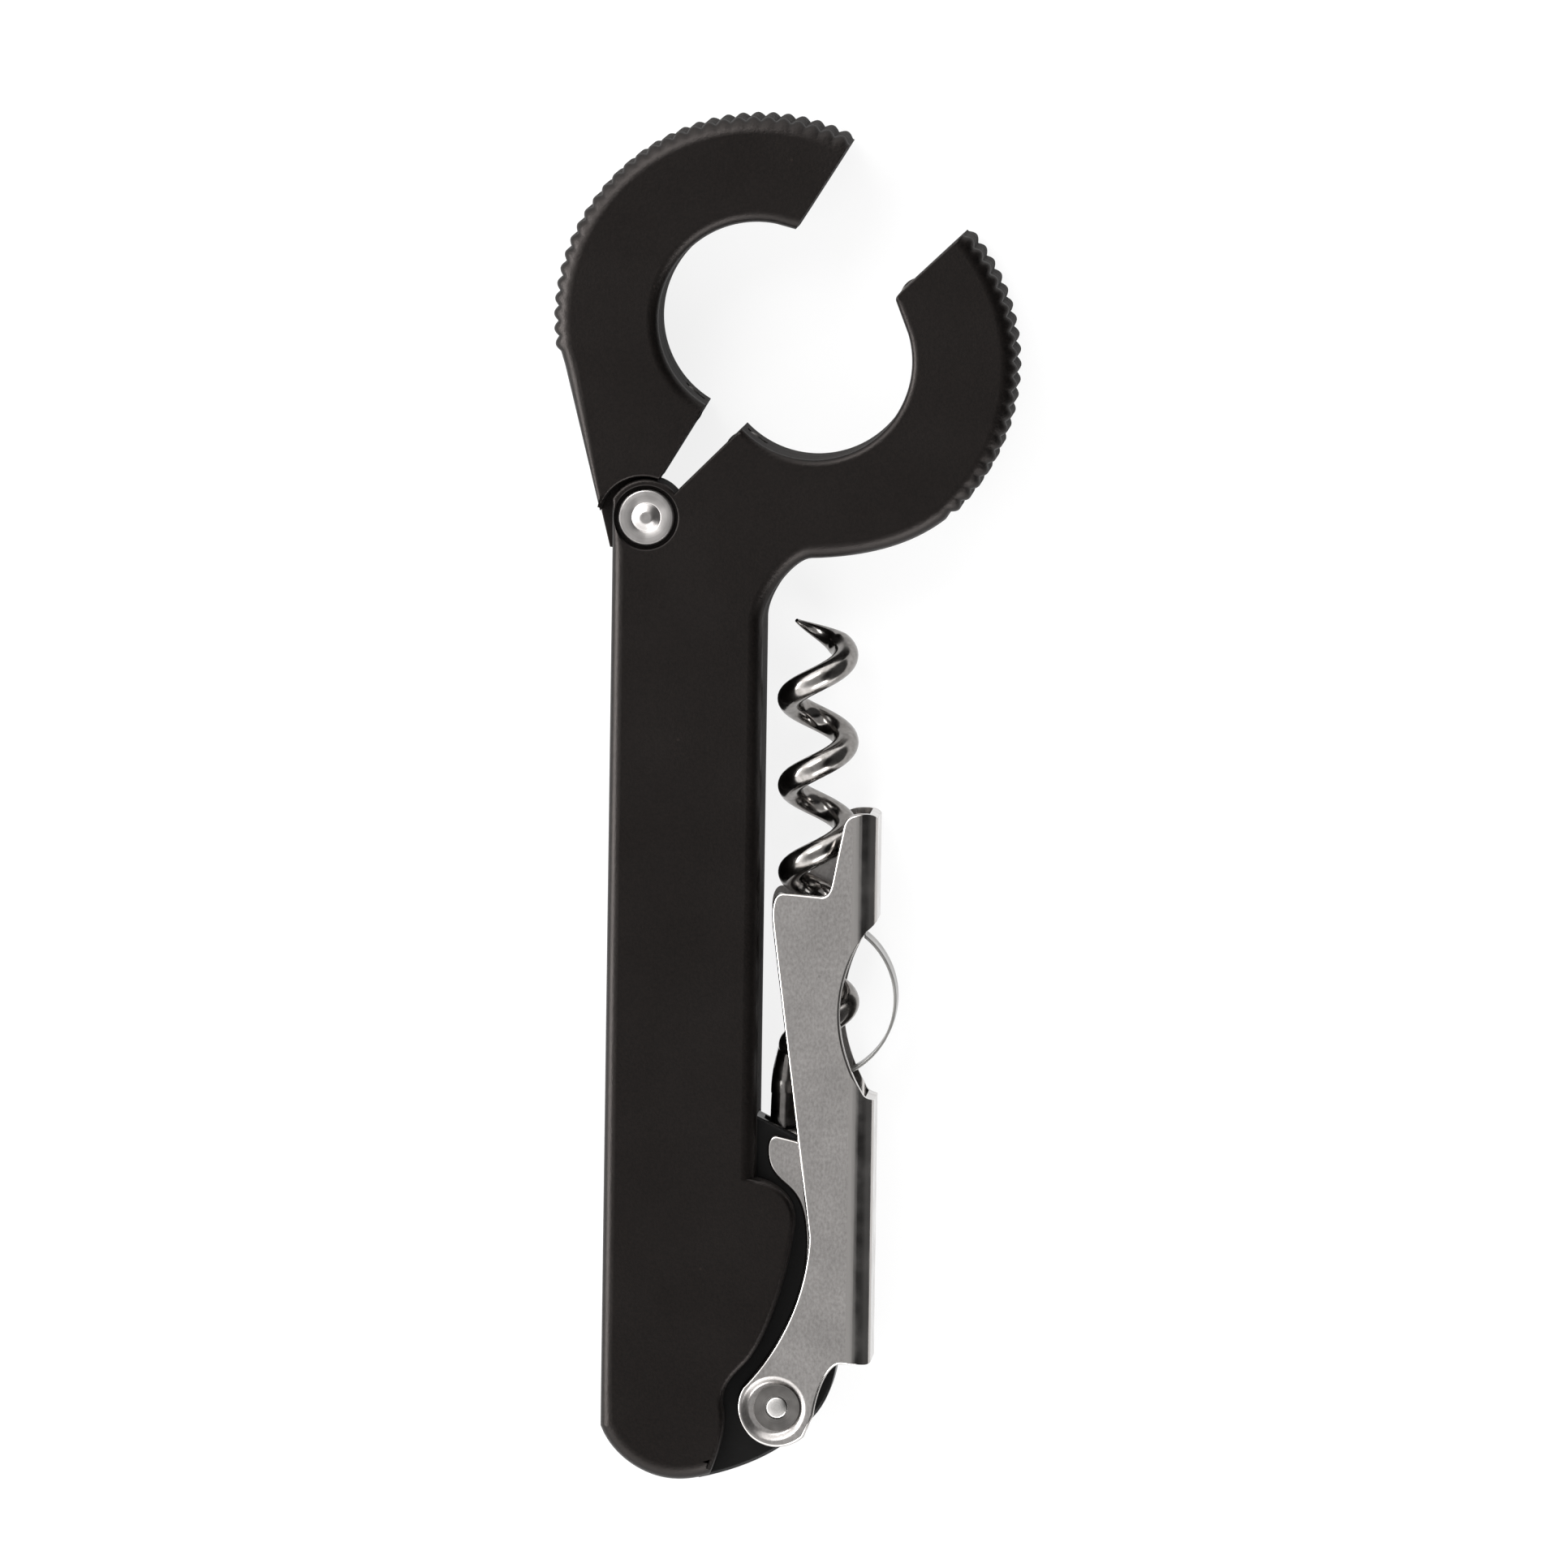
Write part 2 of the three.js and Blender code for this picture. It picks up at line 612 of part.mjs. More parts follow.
const jaw = new THREE.Group();
jaw.add(mesh('moving_jaw_front_shell', movingShell('front'), softBlack));
jaw.add(mesh('moving_jaw_rear_shell', movingShell('rear'), softBlack));
movingScrews.forEach((place, index) => {
  jaw.add(mesh(`jaw_screw_${index + 1}`, screw(place), darkSteel));
});

const cutterGroup = new THREE.Group();
for (const cutter of cutters) {
  cutterGroup.add(mesh(`cutter_wheel_${cutter.name}`, cutterWheel(cutter), darkSteel));
  cutterGroup.add(mesh(`cutter_axle_${cutter.name}`, cutterAxle(cutter), darkSteel));
}

const levers = new THREE.Group();
levers.add(mesh('outer_lever', outerLever(), satinSteel));
levers.add(mesh('bow_strip', bowStrip(), brightSteel));
levers.add(mesh('lever_washer_front', washer(1), darkSteel));
levers.add(mesh('lever_washer_rear', washer(-1), darkSteel));
levers.add(mesh('inner_lever', innerLever(), satinSteel));

const screwGroup = new THREE.Group();
screwGroup.add(mesh('worm', placedWorm(), wormSteel));

const corkscrew = new THREE.Group();
corkscrew.add(handle, jaw, cutterGroup, levers, screwGroup);

export default corkscrew;
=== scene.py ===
"""Looks for a waiter's corkscrew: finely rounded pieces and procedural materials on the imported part.

Shapes are worked out in millimetres in the part's own frame: it lies flat, +Y runs along the
handle towards the jaws, +X is the side where the worm and the levers fold, and +Z is the front.
"""
import json
import math

import bmesh
import bpy
import numpy as np
from mathutils import Matrix, Vector
from mathutils.geometry import tessellate_polygon

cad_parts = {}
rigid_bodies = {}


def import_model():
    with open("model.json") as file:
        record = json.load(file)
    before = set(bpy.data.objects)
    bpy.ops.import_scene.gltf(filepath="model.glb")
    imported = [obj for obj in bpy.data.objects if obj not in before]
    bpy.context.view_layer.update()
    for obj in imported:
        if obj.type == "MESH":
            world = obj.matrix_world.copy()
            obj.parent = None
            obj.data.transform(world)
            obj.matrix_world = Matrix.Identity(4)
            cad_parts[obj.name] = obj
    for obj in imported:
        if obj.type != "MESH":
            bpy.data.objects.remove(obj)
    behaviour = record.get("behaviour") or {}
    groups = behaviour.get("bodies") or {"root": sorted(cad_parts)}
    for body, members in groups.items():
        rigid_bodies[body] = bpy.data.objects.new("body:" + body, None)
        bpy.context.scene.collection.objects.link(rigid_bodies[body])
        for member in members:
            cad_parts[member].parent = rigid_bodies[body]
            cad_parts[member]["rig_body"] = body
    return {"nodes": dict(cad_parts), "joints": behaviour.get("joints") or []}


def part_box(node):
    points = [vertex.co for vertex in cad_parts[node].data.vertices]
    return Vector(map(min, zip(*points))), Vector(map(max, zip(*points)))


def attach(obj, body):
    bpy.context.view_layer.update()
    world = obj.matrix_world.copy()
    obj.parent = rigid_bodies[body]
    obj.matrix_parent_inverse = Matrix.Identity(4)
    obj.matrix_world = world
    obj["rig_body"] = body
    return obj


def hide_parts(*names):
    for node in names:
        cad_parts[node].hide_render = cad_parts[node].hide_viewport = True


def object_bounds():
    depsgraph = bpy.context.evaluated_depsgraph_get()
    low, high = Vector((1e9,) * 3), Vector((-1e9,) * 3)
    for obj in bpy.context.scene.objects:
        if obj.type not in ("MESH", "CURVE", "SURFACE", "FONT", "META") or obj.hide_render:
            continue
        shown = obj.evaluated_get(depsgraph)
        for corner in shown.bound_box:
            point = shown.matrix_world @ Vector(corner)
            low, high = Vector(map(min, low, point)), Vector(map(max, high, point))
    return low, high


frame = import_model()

cad_low, cad_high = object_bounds()

# ---------------------------------------- sizes, in millimetres

MM = 0.001
THICKNESS = (cad_high.z - cad_low.z) / MM
MID = THICKNESS / 2
GAP = 0.3  # clearance round whatever sits in a pocket
HALF_WIDTH = -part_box("handle_front_shell")[0].x / MM
BOTTOM_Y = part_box("handle_front_shell")[0].y / MM
CORNER_Y = BOTTOM_Y + 6.2  # the handle's straight left side starts here

JOINTS = {joint["name"]: Vector(joint["pos_m"]).xy / MM for joint in frame["joints"]}
PIVOT = JOINTS["jaw_hinge"]
WORM_HINGE = JOINTS["worm_hinge"]
LEVER_PIVOT = JOINTS["lever_hinge"]
CUTTERS = ("fixed_tip", "fixed_base", "moving_tip", "moving_base")

EARS = {"front": (4.5, 3.78), "rear": (3.8, 3.45)}  # each ear's radius and its rivet recess
EYE_RADIUS = 4.4  # the moving jaw's tongue, which passes between the ears
EYE_HALF = 2.2
SHOULDER_RADIUS = 5.15
SHOULDER_OFFSET = (0.5, 225)  # the shoulder's centre lies this far from the rivet, at this angle
EYE_POCKET_RADIUS = 5.95
SHANK_HOLE = 1.95  # radius
BORE_RADIUS = 11.5
KNURL_DEPTH = 0.5
KNURL_PITCH = 4.38  # degrees
CORNER_SINE = 0.4  # an outline that turns more sharply than this has a corner there

# Edge radii.
SOFT_EDGE = 1.7
SIDE_EDGE = 1.35
GRIP_EDGE = 1.5
EAR_EDGE = 0.35
FACE_EDGE = 0.12
SHEET_EDGE = 0.35
SHEET_BEND = 2.9
FACE_BORDER = 0.05  # a narrow flat strip inside each rounding keeps the face's shading flat
FINE_ROUNDING = 0.3  # a rounding scaled below this share is a plain chamfer

# Rivet, cutters and screws.
RIVET_RADIUS = 3.33
RIVET_INSET = 0.7
RIVET_HEAD = 1.3  # the recess is this much deeper than the head's face
CUTTER_RADIUS = 2.45
CUTTER_THICKNESS = 1.0
AXLE_RADIUS = 0.6
AXLE_LENGTH = 5.6
SCREW_HEAD = 2.2
SCREW_LOW = 0.4
SCREW_HEAD_HEIGHT = 1.3
SCREW_CORE = 1.1
SCREW_TIP_Z = 11.4

# Core frame, pins and the dish round the lever's pivot.
FRAME_HALF = (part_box("core_frame")[1].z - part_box("core_frame")[0].z) / MM / 2
PIN_RADIUS = 1.5
PIN_END_RADIUS = 1.23
WASHER_RADIUS = 2.73
DISH_RADIUS = 3.9
DISH_OFFSET = Vector((-0.4, -0.1))
DISH_DEPTH = 0.55

# Levers, bent from sheet: half their width, the sheet, the web's outer face and the pivot's boss.
OUTER = {"half": 6.0, "plate": 1.0, "web": 22.65, "boss": 4.65}
INNER_LEVER = {"half": 4.75, "plate": 0.8, "web": 21.3, "boss": 4.75}

# Worm. Angles are in degrees.
WIRE = 1.5  # radius of the wire, and below it of the wire's centre line
HELIX = 3.27
PITCH = 10.2
LEAN = 1.0
LENGTH = 63.0  # from the hinge to the tip
AXIS_OFFSET = 1.9  # the helix's axis passes this far to the right of the hinge
TIP_ANGLE = 232
TURNS = 4.9
TAPER = 0.065  # the share of the wire that narrows to the tip
KNUCKLE_RADIUS = 3.9
SHANK_LEAN = 13

# Studio.
FLOOR_SIZE = 4000
FLOOR_Z = -0.2
FLOOR_GLOW = 0.85
SKY_TOP = 0.62
SKY_WALL = 2.8
SKY_DARK_SIDE = 0.04
CAMERA_TARGET = Vector((11.31, 12.84, MID))
CAMERA_BACK = Vector((0.0469, 0.0755, 1)).normalized()
CAMERA_DISTANCE = 2502.8
CAMERA_ROLL = 0.825  # degrees
VIEW_WIDTH = 184.05


class Jaw:
    """One C-shaped jaw: its bore, its outer arc and the two faces that meet the other jaw."""

    def __init__(self, centre, outer_centre, outer_radius, tip_face, base_face, teeth, bore_edge):
        self.centre = Vector(centre)
        self.outer_centre = Vector(outer_centre)
        self.outer_radius = outer_radius
        self.tip_face = tip_face
        self.base_face = base_face
        self.teeth = teeth
        self.bore_edge = bore_edge


FIXED_JAW = Jaw((14.38, 62.93), (14.38, 62.33), 23.63, (43.9, 1.09), (45.1, 0.365), 20, 0.8)
MOVING_JAW = Jaw((7.65, 67.59), (7.6, 67.75), 23.5, (60.1, -1.8), (58.96, -1.07), 29, 1.4)

# ---------------------------------------- plane geometry


def polar(centre, radius, degrees):
    """The point at a radius and an angle round a centre."""
    angle = math.radians(degrees)
    return Vector((centre[0] + radius * math.cos(angle), centre[1] + radius * math.sin(angle)))


def angle_from(centre, point):
    """The direction from a centre to a point, in degrees."""
    return math.degrees(math.atan2(point[1] - centre[1], point[0] - centre[0]))


def face_meets(face, centre, radius, side):
    """Where a jaw's mating face crosses a circle. A face is an angle and a sideways offset."""
    angle, offset = face
    direction = polar((0, 0), 1, angle)
    start = polar(PIVOT, offset, angle - 90)
    to_centre = Vector(centre) - start
    along = to_centre.dot(direction)
    across = to_centre.x * direction.y - to_centre.y * direction.x
    return start + direction * (along + side * math.sqrt(radius ** 2 - across ** 2))


class Outline:
    """A closed outline. Each stretch has an edge radius, and each point stands out by its ridge."""

    def __init__(self, x, y):
        self.points = [Vector((x, y))]
        self.radii = []
        self.ridges = [0.0]

    def add(self, point, radius, ridge=0.0):
        """A straight stretch to the point, left out where it would have no length."""
        if (point - self.points[-1]).length > 1e-4:
            self.points.append(Vector(point))
            self.radii.append(radius)
            self.ridges.append(ridge)

    def line(self, x, y, radius, end_radius=None, spacing=2.0):
        """A line whose edge radius goes from radius to end_radius."""
        start = self.points[-1].copy()
        end = Vector((x, y))
        steps = max(1, round((end - start).length / spacing))
        last = radius if end_radius is None else end_radius
        for step in range(1, steps + 1):
            share = step / steps
            self.add(start.lerp(end, share), radius + (last - radius) * share)

    def arc(self, centre, size, start, end, radius, degrees=3.0):
        steps = max(2, math.ceil(abs(end - start) / degrees))
        for step in range(steps + 1):
            self.add(polar(centre, size, start + (end - start) * step / steps), radius)

    def bezier(self, x1, y1, x2, y2, x3, y3, radius, end_radius=None, steps=14):
        start, a, b, end = self.points[-1].copy(), Vector((x1, y1)), Vector((x2, y2)), Vector((x3, y3))
        last = radius if end_radius is None else end_radius
        for step in range(1, steps + 1):
            t = step / steps
            u = 1 - t
            point = start * u ** 3 + a * 3 * t * u ** 2 + b * 3 * t * t * u + end * t ** 3
            self.add(point, radius + (last - radius) * t)

    def knurl(self, jaw, start, pitch, radius, points=8):
        """The grip's row of rounded teeth along a jaw's outer arc."""
        root = jaw.outer_radius - KNURL_DEPTH / 2
        for step in range(jaw.teeth * points + 1):
            lobe = abs(math.sin(math.pi * step / points))
            self.add(polar(jaw.outer_centre, root, start + pitch * step / points), radius,
                     KNURL_DEPTH * lobe)

    def close(self, radius):
        """Ends the outline. A last point on top of the first is dropped."""
        if (self.points[-1] - self.points[0]).length < 1e-4:
            self.points.pop()
            self.ridges.pop()
        else:
            self.radii.append(radius)
        return self

    def arrays(self):
        """Points, edge radii and ridges, always anticlockwise."""
        points = np.array([p[:] for p in self.points])
        radii, ridges = np.array(self.radii), np.array(self.ridges)
        after = np.roll(points, -1, 0)
        if np.sum(points[:, 0] * after[:, 1] - after[:, 0] * points[:, 1]) < 0:
            points, ridges = points[::-1], ridges[::-1]
            radii = np.roll(radii[::-1], -1)
        return points, radii, ridges


def ring(arrays, turn, face_z, inward, scale, beyond=0.0, depth=1.0):
    """The outline's points on its edge rounding: turn is 0 on the side wall and 90 on the face.

    inward is the way from the face into the piece, 1 or -1. scale multiplies every edge radius,
    beyond moves the ring further in, and depth is the rounding's height over its width.
    """
    points, radii, ridges = arrays
    edges = np.roll(points, -1, 0) - points
    edges /= np.linalg.norm(edges, axis=1)[:, None]
    after = np.stack([-edges[:, 1], edges[:, 0]], 1)
    before = np.roll(after, 1, 0)
    share = scale * (1 - math.cos(math.radians(turn)))
    inset_after = radii * share + beyond
    inset_before = np.roll(radii, 1) * share + beyond
    cross = before[:, 0] * after[:, 1] - before[:, 1] * after[:, 0]
    middle = before + after
    half_cosine = np.linalg.norm(middle, axis=1)[:, None] / 2
    middle /= 2 * half_cosine
    gentle = middle / half_cosine * ((inset_before + inset_after) / 2)[:, None]
    is_corner = np.abs(cross) > CORNER_SINE
    divisor = np.where(is_corner, cross, 1.0)
    corner = np.stack([
        (inset_before * after[:, 1] - inset_after * before[:, 1]) / divisor,
        (before[:, 0] * inset_after - after[:, 0] * inset_before) / divisor,
    ], 1)
    moved = np.where(is_corner[:, None], corner, gentle)
    flat = points + moved - middle * (ridges * max(0, 1 - share) ** 3)[:, None]
    average = (radii + np.roll(radii, 1)) / 2
    own = np.where(is_corner, np.maximum(radii, np.roll(radii, 1)), average)
    height = face_z + inward * own * scale * depth * (1 - math.sin(math.radians(turn)))
    return np.column_stack([flat, height])


# ---------------------------------------- mesh helpers


def build(name, vertices, faces, marks=None):
    """A mesh object from millimetres. marks gives each face's material index."""
    mesh = bpy.data.meshes.new(name)
    mesh.from_pydata((np.asarray(vertices, float) * MM).tolist(), [], faces)
    mesh.materials.append(None)
    mesh.materials.append(None)
    if marks is not None:
        mesh.polygons.foreach_set("material_index", marks)
    mesh.update()
    faced = bmesh.new()
    faced.from_mesh(mesh)
    bmesh.ops.recalc_face_normals(faced, faces=faced.faces)
    faced.to_mesh(mesh)
    faced.free()
    piece = bpy.data.objects.new(name, mesh)
    bpy.context.scene.collection.objects.link(piece)
    return piece


def lofted(name, rings):
    """Closed surface through rings of equal length. Its end caps are marked 0, its sides 1."""
    count = len(rings[0])
    lowest = tessellate_polygon([[Vector(point) for point in rings[0]]])
    highest = tessellate_polygon([[Vector(point) for point in rings[-1]]])
    last = (len(rings) - 1) * count
    faces = [list(face) for face in lowest] + [[last + i for i in face] for face in highest]
    face_marks = [0] * len(faces)
    for level in range(len(rings) - 1):
        low, high = level * count, (level + 1) * count
        for i in range(count):
            j = (i + 1) % count
            faces.append([low + i, low + j, high + j, high + i])
            face_marks.append(1)
    return build(name, np.concatenate(rings), faces, face_marks)


def rounding(arrays, face_z, inward, scale, steps, depth):
    """The rings of one edge rounding, from the side wall to the face."""
    if scale < FINE_ROUNDING:
        return [ring(arrays, turn, face_z, inward, scale, depth=depth) for turn in (0, 90)]
    rings = [ring(arrays, 90 * step / steps, face_z, inward, scale, depth=depth)
             for step in range(steps + 1)]
    return rings + [ring(arrays, 90, face_z, inward, scale, FACE_BORDER)]


def rounded_slab(name, outline, low, high, low_round=1.0, high_round=1.0, steps=6, depth=1.0):
    """An outline between two heights, with its edge radii times low_round and high_round."""
    arrays = outline.arrays()
    lower = rounding(arrays, low, 1, low_round, steps, depth)
    upper = rounding(arrays, high, -1, high_round, steps, depth)
    return lofted(name, lower[::-1] + upper)


def turned(name, centre, profile, segments=64):
    """A turned piece: profile is a list of (radius, z) that starts and ends on the axis."""
    vertices, loops = [], []
    for radius, z in profile:
        if radius == 0:
            loops.append([len(vertices)] * segments)
            vertices.append((centre[0], centre[1], z))
        else:
            loops.append(list(range(len(vertices), len(vertices) + segments)))
            for k in range(segments):
                point = polar(centre, radius, 360 * k / segments)
                vertices.append((point.x, point.y, z))
    faces = []
    for low, high in zip(loops, loops[1:]):
        for k in range(segments):
            j = (k + 1) % segments
            face = [low[k], low[j], high[j], high[k]]
            faces.append(list(dict.fromkeys(face)))
    return build(name, vertices, faces)


def plain_prism(name, corners, low, high):
    """A square-edged prism on the corners given."""
    outline = Outline(*corners[0])
    for x, y in corners[1:]:
        outline.add(Vector((x, y)), 0)
    outline.close(0)
    return rounded_slab(name, outline, low, high, 0, 0)


def cylinder(name, centre, radius, low, high, segments=64):
    """A square-edged cylinder along Z."""
    return turned(name, centre, [(0, low), (radius, low), (radius, high), (0, high)], segments)


def combine(piece, tools, operation):
    """Cuts the tools from a piece, or joins them to it, and removes them."""
    for tool in tools:
        modifier = piece.modifiers.new(operation, "BOOLEAN")
        modifier.operation = operation
        modifier.solver = "MANIFOLD"
        modifier.object = tool
    graph = bpy.context.evaluated_depsgraph_get()
    result = bpy.data.meshes.new_from_object(piece.evaluated_get(graph))
    piece.modifiers.clear()
    piece.data = result
    for tool in tools:
        bpy.data.objects.remove(tool)
    return piece


def flipped(piece):
    """The piece mirrored from front to back."""
    middle = Matrix.Translation((0, 0, MID * MM))
    piece.data.transform(middle @ Matrix.Diagonal((1, 1, -1, 1)) @ middle.inverted())
    piece.data.flip_normals()
    return piece


def smooth(piece, degrees=32):
    """Smooth shading with sharp edges beyond the angle given."""
    mesh = piece.data
    mesh.polygons.foreach_set("use_smooth", [True] * len(mesh.polygons))
    mesh.set_sharp_from_angle(angle=math.radians(degrees))
    modifier = piece.modifiers.new("weighted normals", "WEIGHTED_NORMAL")
    modifier.keep_sharp = True
    return piece


def stand_for(piece, node, material, edge_material=None):
    """The piece takes the CAD node's place and body, and gets the materials passed in."""
    piece.name = f"{node}_fine"
    piece.data.materials[0] = material
    piece.data.materials[1] = edge_material or material
    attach(piece, frame["nodes"][node]["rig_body"])
    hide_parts(node)
    return piece


# ---------------------------------------- materials


def map_range(tree, value, low, high, to_low, to_high):
    """A Map Range node, whose result goes from to_low to to_high as the value goes from low to high."""
    node = tree.nodes.new("ShaderNodeMapRange")
    tree.links.new(value, node.inputs["Value"])
    limits = {"From Min": low, "From Max": high, "To Min": to_low, "To Max": to_high}
    for socket, number in limits.items():
        node.inputs[socket].default_value = number
    return node


class Surface:
    """A Principled material in the making, with short calls for the nodes that it needs."""

    def __init__(self, name, colour, roughness, metallic=0.0, specular=0.5):
        self.material = bpy.data.materials.new(name)
        self.material.use_nodes = True
        self.tree = self.material.node_tree
        self.shader = self.tree.nodes["Principled BSDF"]
        self.set("Base Color", (*colour, 1))
        self.set("Roughness", roughness)
        self.set("Metallic", metallic)
        self.set("Specular IOR Level", specular)
        self.place = self.tree.nodes.new("ShaderNodeTexCoord").outputs["Object"]

    def set(self, socket, value):
        self.shader.inputs[socket].default_value = value

    def link(self, output, socket):
        self.tree.links.new(output, self.shader.inputs[socket])

    def stretched(self, x, y, z):
        mapping = self.tree.nodes.new("ShaderNodeMapping")
        mapping.inputs["Scale"].default_value = (x, y, z)
        self.tree.links.new(self.place, mapping.inputs["Vector"])
        return mapping.outputs["Vector"]

    def noise(self, scale, detail=3.0, place=None, roughness=0.5):
        node = self.tree.nodes.new("ShaderNodeTexNoise")
        node.inputs["Scale"].default_value = scale
        node.inputs["Detail"].default_value = detail
        node.inputs["Roughness"].default_value = roughness
        self.tree.links.new(place or self.place, node.inputs["Vector"])
        return node.outputs["Fac"]

    def upright(self):
        """0 on a side wall and 1 on a level face."""
        split = self.tree.nodes.new("ShaderNodeSeparateXYZ")
        normal = self.tree.nodes.new("ShaderNodeTexCoord").outputs["Normal"]
        self.tree.links.new(normal, split.inputs[0])
        return self.math("ABSOLUTE", split.outputs["Z"])

    def specks(self, scale, size):
        """1 in small round spots, 0 elsewhere."""
        node = self.tree.nodes.new("ShaderNodeTexVoronoi")
        node.inputs["Scale"].default_value = scale
        self.tree.links.new(self.place, node.inputs["Vector"])
        return self.ranged(node.outputs["Distance"], size * 0.4, size, 1, 0)

    def ranged(self, value, low, high, to_low, to_high):
        return map_range(self.tree, value, low, high, to_low, to_high).outputs["Result"]

    def math(self, operation, a, b=0.0):
        node = self.tree.nodes.new("ShaderNodeMath")
        node.operation = operation
        for socket, value in zip(node.inputs, (a, b)):
            if isinstance(value, (int, float)):
                socket.default_value = value
            else:
                self.tree.links.new(value, socket)
        return node.outputs[0]

    def blend(self, factor, low, high):
        node = self.tree.nodes.new("ShaderNodeMix")
        node.data_type = "RGBA"
        self.tree.links.new(factor, node.inputs["Factor"])
        node.inputs["A"].default_value = (*low, 1)
        node.inputs["B"].default_value = (*high, 1)
        return node.outputs["Result"]

    def bump(self, height, strength, distance):
        node = self.tree.nodes.new("ShaderNodeBump")
        node.inputs["Strength"].default_value = strength
        node.inputs["Distance"].default_value = distance
        self.tree.links.new(height, node.inputs["Height"])
        self.link(node.outputs["Normal"], "Normal")


def soft_black():
    """Near-black plastic, finely grained, with a few pale dust specks and matt side walls."""
    surface = Surface("soft_black", (0.003, 0.002, 0.0015), 0.33, specular=0.22)
    surface.set("Specular Tint", (1, 0.90, 0.86, 1))
    grain = surface.noise(3200, 4, roughness=0.7)
    clouds = surface.noise(90, 3)
    sparse = surface.ranged(surface.noise(260, 1), 0.6, 0.64, 0, 1)
    dust = surface.math("MULTIPLY", surface.specks(420, 0.09), sparse)
    spots = surface.math("MULTIPLY", dust, 0.9)
    tone = surface.math("ADD", surface.ranged(grain, 0.36, 0.64, 0, 0.3), spots)
    colour = surface.blend(tone, (0.0001, 0.0001, 0.0001), (0.0080, 0.0058, 0.0050))
    surface.link(colour, "Base Color")
    face = surface.ranged(clouds, 0.3, 0.7, 0.30, 0.36)
    wall = surface.ranged(surface.upright(), 0.06, 0.32, 0.5, 0)
    surface.link(surface.math("ADD", face, wall), "Roughness")
    surface.bump(grain, 0.3, 0.00015)
    return surface.material


def inner_black():
    """The moulded core frame: smoother and blacker than the shells."""
    surface = Surface("inner_black", (0.0022, 0.002, 0.0019), 0.36, specular=0.16)
    grain = surface.noise(2400, 3)
    surface.link(surface.ranged(surface.noise(140, 3), 0.3, 0.7, 0.3, 0.44), "Roughness")
    surface.bump(grain, 0.2, 0.0001)
    return surface.material


def satin_steel():
    """Sheet steel faces: fine tumbled grain, faint clouding and a few dark pits."""
    surface = Surface("satin_steel", (0.42, 0.40, 0.385), 0.34, metallic=1)
    brushing = surface.noise(1, 4, surface.stretched(3400, 2100, 3400), 0.65)
    clouds = surface.noise(160, 4)
    sparse = surface.ranged(surface.noise(120, 1), 0.6, 0.66, 0, 1)
    pits = surface.math("MULTIPLY", surface.specks(330, 0.06), sparse)
    tone = surface.math("SUBTRACT", surface.ranged(brushing, 0.3, 0.7, 0.1, 0.95), pits)
    surface.link(surface.blend(tone, (0.26, 0.247, 0.239), (0.415, 0.397, 0.386)), "Base Color")
    surface.link(surface.ranged(clouds, 0.3, 0.7, 0.31, 0.37), "Roughness")
    surface.bump(brushing, 0.12, 0.00006)
    return surface.material


def polished_steel(name="polished_steel", colour=(0.46, 0.44, 0.425), roughness=0.16):
    """Tumbled edges and turned ends: bright, with slight waviness."""
    surface = Surface(name, colour, roughness, metallic=1)
    wear = surface.ranged(surface.noise(300, 3), 0.3, 0.7, roughness * 0.7, roughness * 1.5)
    surface.link(wear, "Roughness")
    surface.bump(surface.noise(900, 3), 0.08, 0.00008)
    return surface.material


def turned_steel(name, centre, colour, roughness):
    """Steel with fine rings round a centre, as a lathe leaves them."""
    surface = Surface(name, colour, roughness, metallic=1)
    shift = surface.tree.nodes.new("ShaderNodeMapping")
    shift.inputs["Location"].default_value = (-centre[0] * MM, -centre[1] * MM, 0)
    surface.tree.links.new(surface.place, shift.inputs["Vector"])
    apart = surface.tree.nodes.new("ShaderNodeSeparateXYZ")
    surface.tree.links.new(shift.outputs["Vector"], apart.inputs["Vector"])
    squares = [surface.math("MULTIPLY", apart.outputs[axis], apart.outputs[axis]) for axis in "XY"]
    radius = surface.math("SQRT", surface.math("ADD", *squares))
    rings = surface.tree.nodes.new("ShaderNodeTexNoise")
    rings.noise_dimensions = "1D"
    rings.inputs["Scale"].default_value = 9000
    rings.inputs["Detail"].default_value = 3
    surface.tree.links.new(radius, rings.inputs["W"])
    darker = tuple(0.82 * part for part in colour)
    tone = surface.ranged(rings.outputs["Fac"], 0.3, 0.7, 0, 1)
    surface.link(surface.blend(tone, darker, colour), "Base Color")
    wear = surface.ranged(surface.noise(700, 3), 0.3, 0.7, roughness * 0.8, roughness * 1.25)
    surface.link(wear, "Roughness")
    surface.bump(rings.outputs["Fac"], 0.05, 0.00003)
    return surface.material


def dark_steel():
    """Hardened steel of the cutters, screws and axles."""
    surface = Surface("dark_steel", (0.16, 0.15, 0.14), 0.3, metallic=1)
    clouds = surface.noise(800, 4)
    tone = surface.ranged(clouds, 0.3, 0.7, 0, 1)
    surface.link(surface.blend(tone, (0.05, 0.047, 0.045), (0.12, 0.115, 0.11)), "Base Color")
    surface.link(surface.ranged(clouds, 0.3, 0.7, 0.24, 0.38), "Roughness")
    surface.bump(clouds, 0.08, 0.00005)
    return surface.material


def worm_steel():
    """Dark chrome with faint draw marks and hairline wear."""
    surface = Surface("worm_steel", (0.24, 0.225, 0.215), 0.12, metallic=1)
    marks = surface.noise(1500, 4)
    tone = surface.ranged(marks, 0.3, 0.7, 0, 1)
    surface.link(surface.blend(tone, (0.19, 0.18, 0.17), (0.29, 0.275, 0.265)), "Base Color")
    surface.link(surface.ranged(surface.noise(420, 4), 0.35, 0.7, 0.12, 0.26), "Roughness")
    surface.bump(marks, 0.06, 0.00006)
    return surface.material


